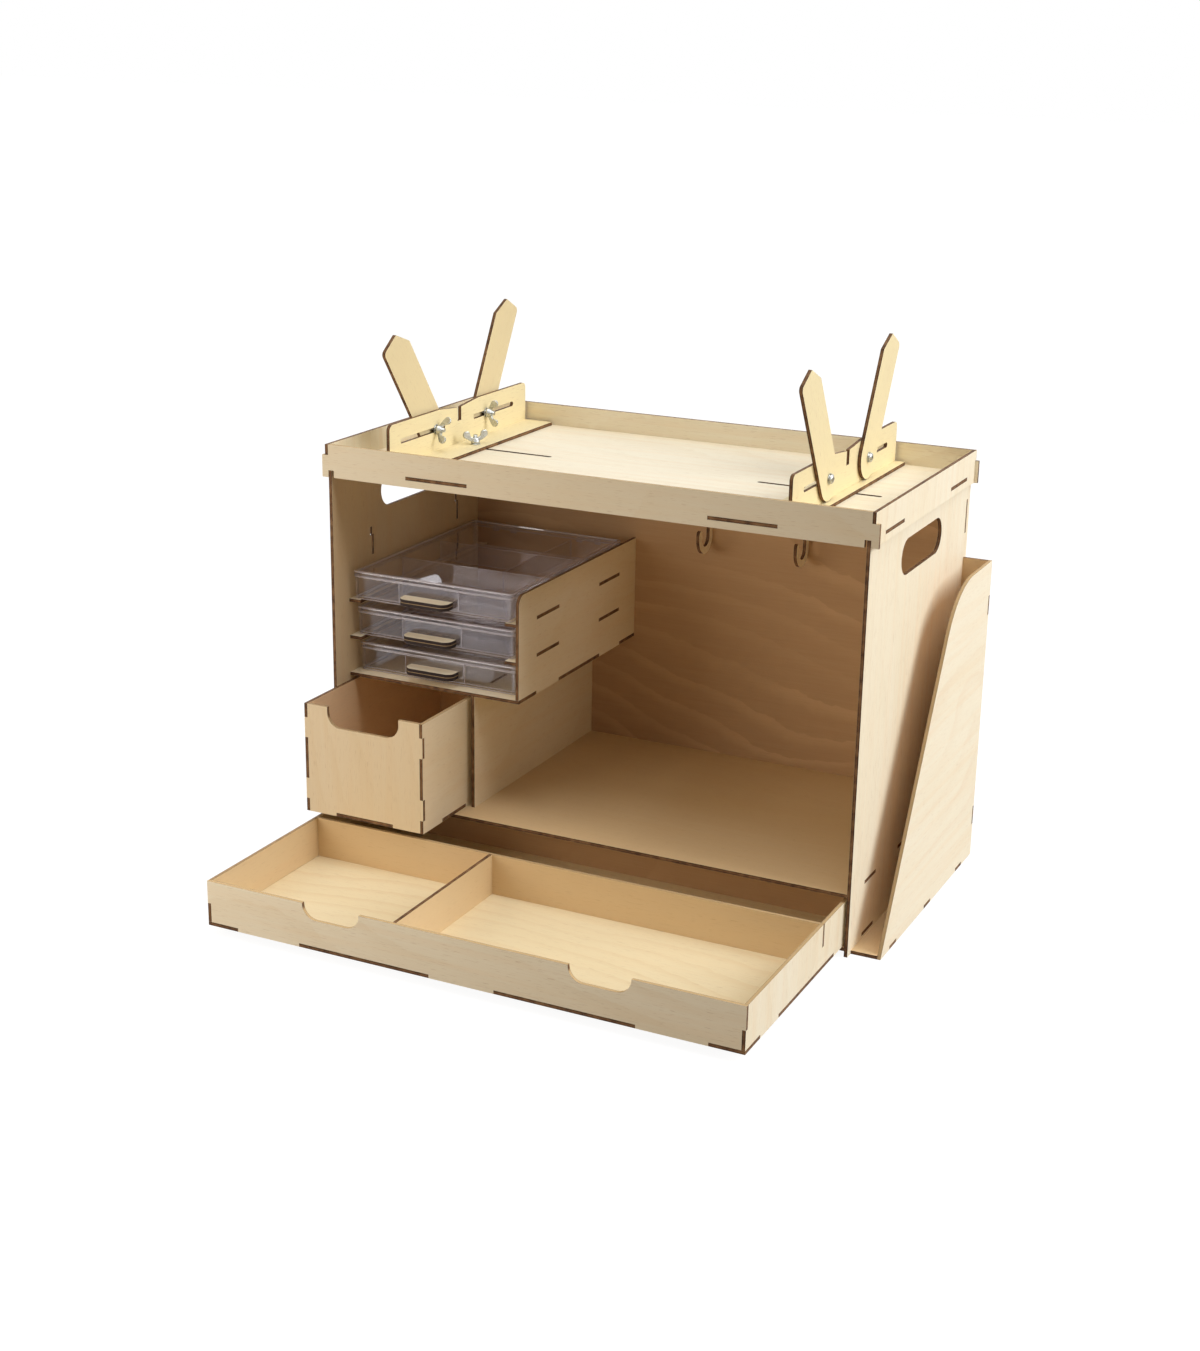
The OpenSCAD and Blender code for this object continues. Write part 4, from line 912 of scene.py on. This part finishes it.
# %% [markdown]
# ## Zinc plate
#
# Bright zinc is a cool, slightly uneven mirror: the plating varies in thickness and picks
# up fine handling marks. Metal gets its look from what it reflects, so only roughness and
# a trace of colour vary.

# %% Zinc finish
COOL_ZINC = colour(160, 164, 168)
WARM_ZINC = colour(212, 213, 206)


def zinc_plate():
    material, g = new_finish("zinc_plate")
    here = g.node("ShaderNodeTexCoord", out="Object")
    cloud = g.noise(here, scale=260, detail=3)
    grit = g.noise(here, scale=2600, detail=2)
    tint = g.mix(cloud, COOL_ZINC, WARM_ZINC)
    bump = g.node("ShaderNodeBump", inputs={
        "Strength": 0.25, "Distance": 0.05 * MM, "Height": grit * 0.6 + cloud})
    shader = g.node("ShaderNodeBsdfPrincipled", inputs={
        "Base Color": tint, "Metallic": 1.0, "Roughness": 0.16 + cloud * 0.14 + grit * 0.08,
        "Normal": bump})
    g.node("ShaderNodeOutputMaterial", inputs=[shader])
    return material


ZINC = zinc_plate()
print("zinc ready")

# %% [markdown]
# ## Bolts with a real thread
#
# A thread is a ridge wound on a shank at a fixed pitch, 0.7 mm for an M4 bolt. That is
# one rule, so Geometry Nodes make it: a spiral curve with a four-cornered profile swept
# along it, joined to the core of the shank. The tree has named inputs for its sizes, and
# its result is turned into a plain mesh, once for each bolt.

# %% Thread tree
THREAD_PITCH = 0.7 * MM
THREAD_DEPTH = 0.36 * MM
BOLT_RADIUS = 2 * MM
SHANK_SIDES = 24
SPIRAL_STEPS = 18  # points in one turn


def thread_tree():
    tree = bpy.data.node_groups.new("threaded_shank", "GeometryNodeTree")
    for name, kind in (("Length", "NodeSocketFloat"), ("Pitch", "NodeSocketFloat"),
                       ("Radius", "NodeSocketFloat"), ("Depth", "NodeSocketFloat"),
                       ("Finish", "NodeSocketMaterial")):
        tree.interface.new_socket(name, in_out="INPUT", socket_type=kind)
    tree.interface.new_socket("Geometry", in_out="OUTPUT", socket_type="NodeSocketGeometry")
    g = Graph(tree)
    sizes = g.node("NodeGroupInput")
    length, pitch, radius, depth, finish = (
        sizes.output(name) for name in ("Length", "Pitch", "Radius", "Depth", "Finish"))
    core = radius - depth
    spiral = g.node("GeometryNodeCurveSpiral", inputs={
        "Resolution": SPIRAL_STEPS, "Rotations": (length - pitch) / pitch, "Start Radius": core,
        "End Radius": core, "Height": length - pitch})
    upright = g.node("GeometryNodeSetCurveNormal", {"mode": "Z_UP"}, {"Curve": spiral})
    profile = g.node("GeometryNodeCurvePrimitiveCircle", inputs={"Resolution": 4, "Radius": depth})
    ridge = g.node("GeometryNodeCurveToMesh", inputs={
        "Curve": upright, "Profile Curve": profile, "Fill Caps": True})
    raised = g.node("GeometryNodeTransform", inputs={
        "Geometry": ridge, "Translation": g.vector(0.0, 0.0, pitch / 2)})
    shank = g.node("GeometryNodeMeshCylinder", inputs={
        "Vertices": SHANK_SIDES, "Radius": core, "Depth": length})
    standing = g.node("GeometryNodeTransform", inputs={
        "Geometry": shank, "Translation": g.vector(0.0, 0.0, length / 2)})
    joined = g.node("GeometryNodeJoinGeometry", inputs={"Geometry": raised})
    g.plug(joined.socket.node.inputs["Geometry"], standing)
    real = g.node("GeometryNodeRealizeInstances", inputs={"Geometry": joined})
    painted = g.node("GeometryNodeSetMaterial", inputs={"Geometry": real, "Material": finish})
    g.node("NodeGroupOutput", inputs=[painted])
    return tree


THREAD_TREE = thread_tree()


def grown_mesh(tree, **inputs):
    """Runs a Geometry Nodes tree and gives its result as a plain mesh."""
    host = bpy.data.objects.new("host", bpy.data.meshes.new("host"))
    bpy.context.scene.collection.objects.link(host)
    modifier = host.modifiers.new("nodes", "NODES")
    modifier.node_group = tree
    for item in tree.interface.items_tree:
        if item.in_out == "INPUT" and item.name in inputs:
            modifier[item.identifier] = inputs[item.name]
    return settled_mesh(host)


print("thread tree:", len(THREAD_TREE.nodes), "nodes")

# %% [markdown]
# ## Bolt heads and washers
#
# The heads are low domes with a cross recess. The dome is a turned profile, and the cross
# is cut by a boolean with four tapered arms. Washers are turned rings with a slightly
# rounded outer edge. Everything on one bolt is one piece, because it moves as one.

# %% Bolts
HEAD_RADIUS = 4 * MM
HEAD_HEIGHT = 2.6 * MM
HEAD_SIDE = 0.32  # the upright side's share of the height
HEAD_SOFT = 0.2 * MM
DOME_WIDTH, DOME_FOOT = 0.96, 0.45  # shares of the radius and of the height
DOME_STEPS = 6
WASHER_RADIUS = 4.5 * MM
WASHER_HOLE = 2.1 * MM
WASHER_THICK = 0.8 * MM
WASHER_SOFT = 0.15 * MM
LOOSE = 0.2 * MM  # the air between a washer and what it lies on
SEAT = LOOSE + WASHER_THICK + LOOSE
CROSS_WIDE, CROSS_NARROW = 2.1 * MM, 1.0 * MM  # an arm's reach outside and at the bottom
CROSS_HALF = 0.42 * MM  # half an arm's width
CROSS_ABOVE, CROSS_DEEP = 1 * MM, 1.5 * MM  # from the pole of the dome, out and in


def head_profile():
    """From the pole of the dome down to the flat under the head."""
    crown = [(0, -HEAD_HEIGHT)]
    for step in range(1, DOME_STEPS + 1):
        turn = math.pi / 2 * step / DOME_STEPS
        crown.append((
            HEAD_RADIUS * DOME_WIDTH * math.sin(turn),
            -HEAD_HEIGHT * (DOME_FOOT + (1 - DOME_FOOT) * math.cos(turn))))
    return crown + [(HEAD_RADIUS, -HEAD_HEIGHT * HEAD_SIDE), (HEAD_RADIUS, -HEAD_SOFT),
                    (HEAD_RADIUS - HEAD_SOFT, 0), (0, 0)]


def washer_profile(low):
    """Out along the lower face of a washer, up its edge and back along the upper face."""
    high = low + WASHER_THICK
    return [
        (WASHER_HOLE, low), (WASHER_RADIUS - WASHER_SOFT, low),
        (WASHER_RADIUS, low + WASHER_SOFT), (WASHER_RADIUS, high - WASHER_SOFT),
        (WASHER_RADIUS - WASHER_SOFT, high), (WASHER_HOLE, high), (WASHER_HOLE, low)]


def recessed_head():
    """A bolt head along Z with its dome down and its flat side at zero."""
    bm = bmesh.new()
    add_lathe(bm, head_profile(), Matrix.Identity(4))
    head = solid_object("head", bm)
    bm = bmesh.new()
    for turn in (0, math.pi / 2):
        made = bmesh.ops.create_cube(bm, size=1.0)["verts"]
        for vert in made:
            outer = vert.co.z < 0
            vert.co = Vector((
                math.copysign(CROSS_WIDE if outer else CROSS_NARROW, vert.co.x),
                math.copysign(CROSS_HALF, vert.co.y),
                -HEAD_HEIGHT - CROSS_ABOVE if outer else -HEAD_HEIGHT + CROSS_DEEP))
        bmesh.ops.rotate(bm, verts=made, cent=(0, 0, 0), matrix=Matrix.Rotation(turn, 3, "Z"))
    cutter = solid_object("cross", bm)
    modifier = head.modifiers.new("cross", "BOOLEAN")
    modifier.operation = "DIFFERENCE"
    modifier.solver = "EXACT"
    modifier.use_self = True
    modifier.object = cutter
    mesh = settled_mesh(head)
    bpy.data.objects.remove(cutter)
    return mesh


HEAD_MESH = recessed_head()
print("one bolt head:", len(HEAD_MESH.polygons), "faces")


def along_axis(origin, axis, wing=None):
    """A turn and a place that send +Z along the axis and +X along the wing."""
    z = axis.normalized()
    x = (wing or z.orthogonal()).normalized()
    x = (x - x.dot(z) * z).normalized()
    y = z.cross(x)
    turn = Matrix((x, y, z)).transposed().to_4x4()
    return Matrix.Translation(origin) @ turn


def bolt_line(node, axis):
    """Where a bolt's head ends on its axis, and how far the shank runs from there."""
    low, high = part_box(node)
    middle = (low + high) / 2
    ahead = max((high - low)[i] * abs(axis[i]) for i in range(3))
    tail = middle - axis * (ahead / 2)
    return tail + axis * HEAD_HEIGHT, ahead - HEAD_HEIGHT


def make_bolt(node, axis, stack):
    """A bolt whose washers clamp a stack of boards of a given height."""
    seat, length = bolt_line(node, axis)
    place = along_axis(seat, axis)
    bm = bmesh.new()
    add_lathe(bm, washer_profile(LOOSE), Matrix.Identity(4))
    add_lathe(bm, washer_profile(SEAT + stack + LOOSE), Matrix.Identity(4))
    bm.from_mesh(HEAD_MESH)
    bm.from_mesh(grown_mesh(
        THREAD_TREE, Length=length, Pitch=THREAD_PITCH, Radius=BOLT_RADIUS,
        Depth=THREAD_DEPTH, Finish=ZINC))
    bmesh.ops.transform(bm, matrix=place, verts=bm.verts)
    new_piece(node + "_zinc", bm, ZINC, "zinc", node, node)


# %% [markdown]
# ## Wing nuts
#
# A wing nut is cast: a round hub, two ears that lean outwards, and a fillet wherever they
# meet. Fillets like that are hard to model edge by edge. Here the hub and the ears are
# separate closed forms that overlap, a voxel remesh fuses them into one skin, and a few
# rounds of smoothing melt the joints as a casting would. One nut is made and then
# copied to each bolt, turned as its CAD node is.

# %% Wing nuts
HUB_RADIUS = 4 * MM
HUB_HEIGHT = 5 * MM
WING_REACH = 8.75 * MM
WING_RISE = 7.75 * MM
WING_RADIUS = 3.3 * MM
WING_THICK = 2.2 * MM
WING_FROM, WING_SWEEP, WING_STEPS = -48, 196, 12  # the round end's arc, in degrees
EAR_ROOT = ((2.7, 0.9), (5.4, 2.2))  # in mm, from the hub out along the lower edge
EAR_NECK = ((4.9, 6.0), (2.7, 4.9))  # in mm, back to the hub along the upper edge
NUT_BORE = 2.1 * MM
VOXEL = 0.24 * MM
MELT_ROUNDS = 5


def hub_profile():
    """The hub's foot, its tapered side, its top and its bore."""
    return [
        (NUT_BORE, 0), (HUB_RADIUS - 0.2 * MM, 0), (HUB_RADIUS, 0.3 * MM),
        (HUB_RADIUS, 1.4 * MM), (HUB_RADIUS - 0.8 * MM, HUB_HEIGHT - 0.6 * MM),
        (HUB_RADIUS - 1.3 * MM, HUB_HEIGHT), (NUT_BORE, HUB_HEIGHT), (NUT_BORE, 0)]


def add_ear(bm, side):
    """One ear in the XZ plane: a foot on the hub that widens into a round end."""
    outline = [Vector((x * MM, z * MM)) for x, z in EAR_ROOT]
    for step in range(WING_STEPS + 1):
        turn = math.radians(WING_FROM + WING_SWEEP * step / WING_STEPS)
        outline.append(Vector((
            WING_REACH + WING_RADIUS * math.cos(turn), WING_RISE + WING_RADIUS * math.sin(turn))))
    outline += [Vector((x * MM, z * MM)) for x, z in EAR_NECK]
    front = [bm.verts.new((side * p.x, -WING_THICK / 2, p.y)) for p in outline]
    back = [bm.verts.new((side * p.x, WING_THICK / 2, p.y)) for p in outline]
    bm.faces.new(front)
    bm.faces.new(list(reversed(back)))
    for i in range(len(outline)):
        j = (i + 1) % len(outline)
        bm.faces.new((front[j], front[i], back[i], back[j]))


def cast_nut():
    bm = bmesh.new()
    add_lathe(bm, hub_profile(), Matrix.Identity(4), steps=48)
    for side in (1, -1):
        add_ear(bm, side)
    bmesh.ops.recalc_face_normals(bm, faces=bm.faces)
    nut = solid_object("nut", bm)
    remesh = nut.modifiers.new("cast", "REMESH")
    remesh.mode = "VOXEL"
    remesh.voxel_size = VOXEL
    smooth = nut.modifiers.new("melt", "SMOOTH")
    smooth.factor = 0.5
    smooth.iterations = MELT_ROUNDS
    return settled_mesh(nut)


NUT_MESH = cast_nut()
print("one wing nut:", len(NUT_MESH.polygons), "faces")


def make_nut(node, bolt, axis):
    """A wing nut that sits where its CAD node does, with its ears the same way round."""
    seat, _ = bolt_line(bolt, axis)
    points = [vert.co for vert in frame["nodes"][node].data.vertices]
    foot = min((point - seat).dot(axis) for point in points)
    tip = max(points, key=lambda point: (point - seat).cross(axis).length)
    place = along_axis(seat + axis * foot, axis, tip - seat)
    bm = bmesh.new()
    bm.from_mesh(NUT_MESH)
    bmesh.ops.transform(bm, matrix=place, verts=bm.verts)
    new_piece(node + "_zinc", bm, ZINC, "zinc", node, node)


ARM_STACK = 6.3 * MM  # an arm and the fence, with the play between them
BASE_STACK = 6.2 * MM  # the tray floor and the base plate, with the play between them
for side, inwards in (("left", 1), ("right", -1)):
    for end, axis, stack in (
            ("front", Vector((inwards, 0, 0)), ARM_STACK),
            ("back", Vector((inwards, 0, 0)), ARM_STACK),
            ("base", Vector((0, 0, 1)), BASE_STACK)):
        bolt = f"{side}_clamp_{end}_bolt"
        make_bolt(bolt, axis, stack)
        make_nut(f"{side}_clamp_{end}_wing_nut", bolt, axis)

# %% [markdown]
# ## Floor, background and light
#
# The bench stands on a plain white floor. The floor shows white to the camera and to
# mirror reflections, and keeps a faint shadow, because a part of its brightness still
# comes from the lamps. Two wide suns stand for soft boxes overhead and behind. A large
# soft box stands high up on the right, and a small near one at the left front fades along
# the fronts. The floor throws warm light back up, and the sky adds a weak fill. A line of
# sight can pass some forty plastic faces in the three boxes, so that many are let through.

# %% Stage
FLOOR_HALF = 12.0
FLOOR_DROP = 0.5 * MM  # keeps it clear of the panels' lower edges
FLOOR_BOUNCE = colour(172, 158, 143)
SHADOW_SHARE = (0.14, 0.14, 0.14, 1)
GLOW = 0.93
WHITE = (1, 1, 1, 1)
WARM_FILL = (1.0, 0.88, 0.74, 1)
FILL = 0.10
CLEAR_WALLS = 40
BENCH_MIDDLE = (0, -0.1, 0.2)


def seen_directly(g):
    """1 for the camera's own rays, mirror rays and rays through clear plastic."""
    path = g.node("ShaderNodeLightPath", out="Is Camera Ray")
    return path.most(path.output("Is Glossy Ray")).most(path.output("Is Transmission Ray"))


def floor_finish():
    """White with a faint shadow where it is seen, and a warm matt floor to other light."""
    material, g = new_finish("studio_floor")
    plain = g.node("ShaderNodeBsdfDiffuse", inputs={"Color": FLOOR_BOUNCE})
    catcher = g.node("ShaderNodeBsdfDiffuse", inputs={"Color": SHADOW_SHARE})
    glow = g.node("ShaderNodeEmission", inputs={"Color": WHITE, "Strength": GLOW})
    white = g.node("ShaderNodeAddShader", inputs=[catcher, glow])
    shown = g.node("ShaderNodeMixShader", inputs=[seen_directly(g), plain, white])
    g.node("ShaderNodeOutputMaterial", inputs=[shown])
    return material


bm = bmesh.new()
bmesh.ops.create_grid(bm, x_segments=1, y_segments=1, size=FLOOR_HALF)
floor = solid_object("studio_floor", bm)
floor.location.z = -FLOOR_DROP
floor.data.materials.append(floor_finish())
floor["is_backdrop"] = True


def sky():
    world = bpy.data.worlds.new("studio")
    world.use_nodes = True
    g = Graph(world.node_tree)
    fill = g.node("ShaderNodeBackground", inputs={"Color": WARM_FILL, "Strength": FILL})
    white = g.node("ShaderNodeBackground", inputs={"Color": WHITE, "Strength": 1.0})
    shown = g.node("ShaderNodeMixShader", inputs=[seen_directly(g), fill, white])
    g.node("ShaderNodeOutputWorld", inputs=[shown])
    bpy.context.scene.world = world


def hang(name, lamp, towards):
    """An object for a lamp that shines along a direction."""
    holder = bpy.data.objects.new(name, lamp)
    holder.rotation_mode = "QUATERNION"
    holder.rotation_quaternion = Vector(towards).to_track_quat("-Z", "Y")
    bpy.context.scene.collection.objects.link(holder)
    return holder


def sun(name, towards, strength, spread):
    """A sun as wide as its spread in degrees."""
    lamp = bpy.data.lights.new(name, "SUN")
    lamp.energy = strength
    lamp.angle = math.radians(spread)
    hang(name, lamp, towards)


def softbox(name, at, power, width, tint):
    """A square lamp that faces the bench. A near one fades along it."""
    lamp = bpy.data.lights.new(name, "AREA")
    lamp.energy = power
    lamp.size = width
    lamp.color = tint
    holder = hang(name, lamp, Vector(BENCH_MIDDLE) - Vector(at))
    holder.location = at
    holder.visible_camera = False


sky()
sun("overhead_softbox", (-0.15, 0.1, -1.0), 1.25, 40)
sun("rear_softbox", (0.5, -1.0, -0.35), 0.8, 60)
softbox("right_softbox", (2.8, 0.3, 1.9), 88.0, 2.1, (0.98, 1.0, 1.02))
softbox("left_softbox", (-0.54, -0.86, 0.44), 3.4, 0.6, (1.0, 0.93, 0.83))
bpy.context.scene.view_settings.view_transform = "Standard"
bpy.context.scene.cycles.transparent_max_bounces = CLEAR_WALLS
print("lamps:", len(bpy.data.lights))

# %% [markdown]
# ## Sizes and the end
#
# Both boxes are worked out, the CAD model's and the dressed bench's, and the bench's size is
# printed. The dressed bench has to stay inside the box of the CAD model.

# %% Finish
shown_low, shown_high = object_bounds()
{"cad": [list(cad_low), list(cad_high)], "shown": [list(shown_low), list(shown_high)]}
print("shown size in mm:", [round(v / MM, 1) for v in shown_high - shown_low])
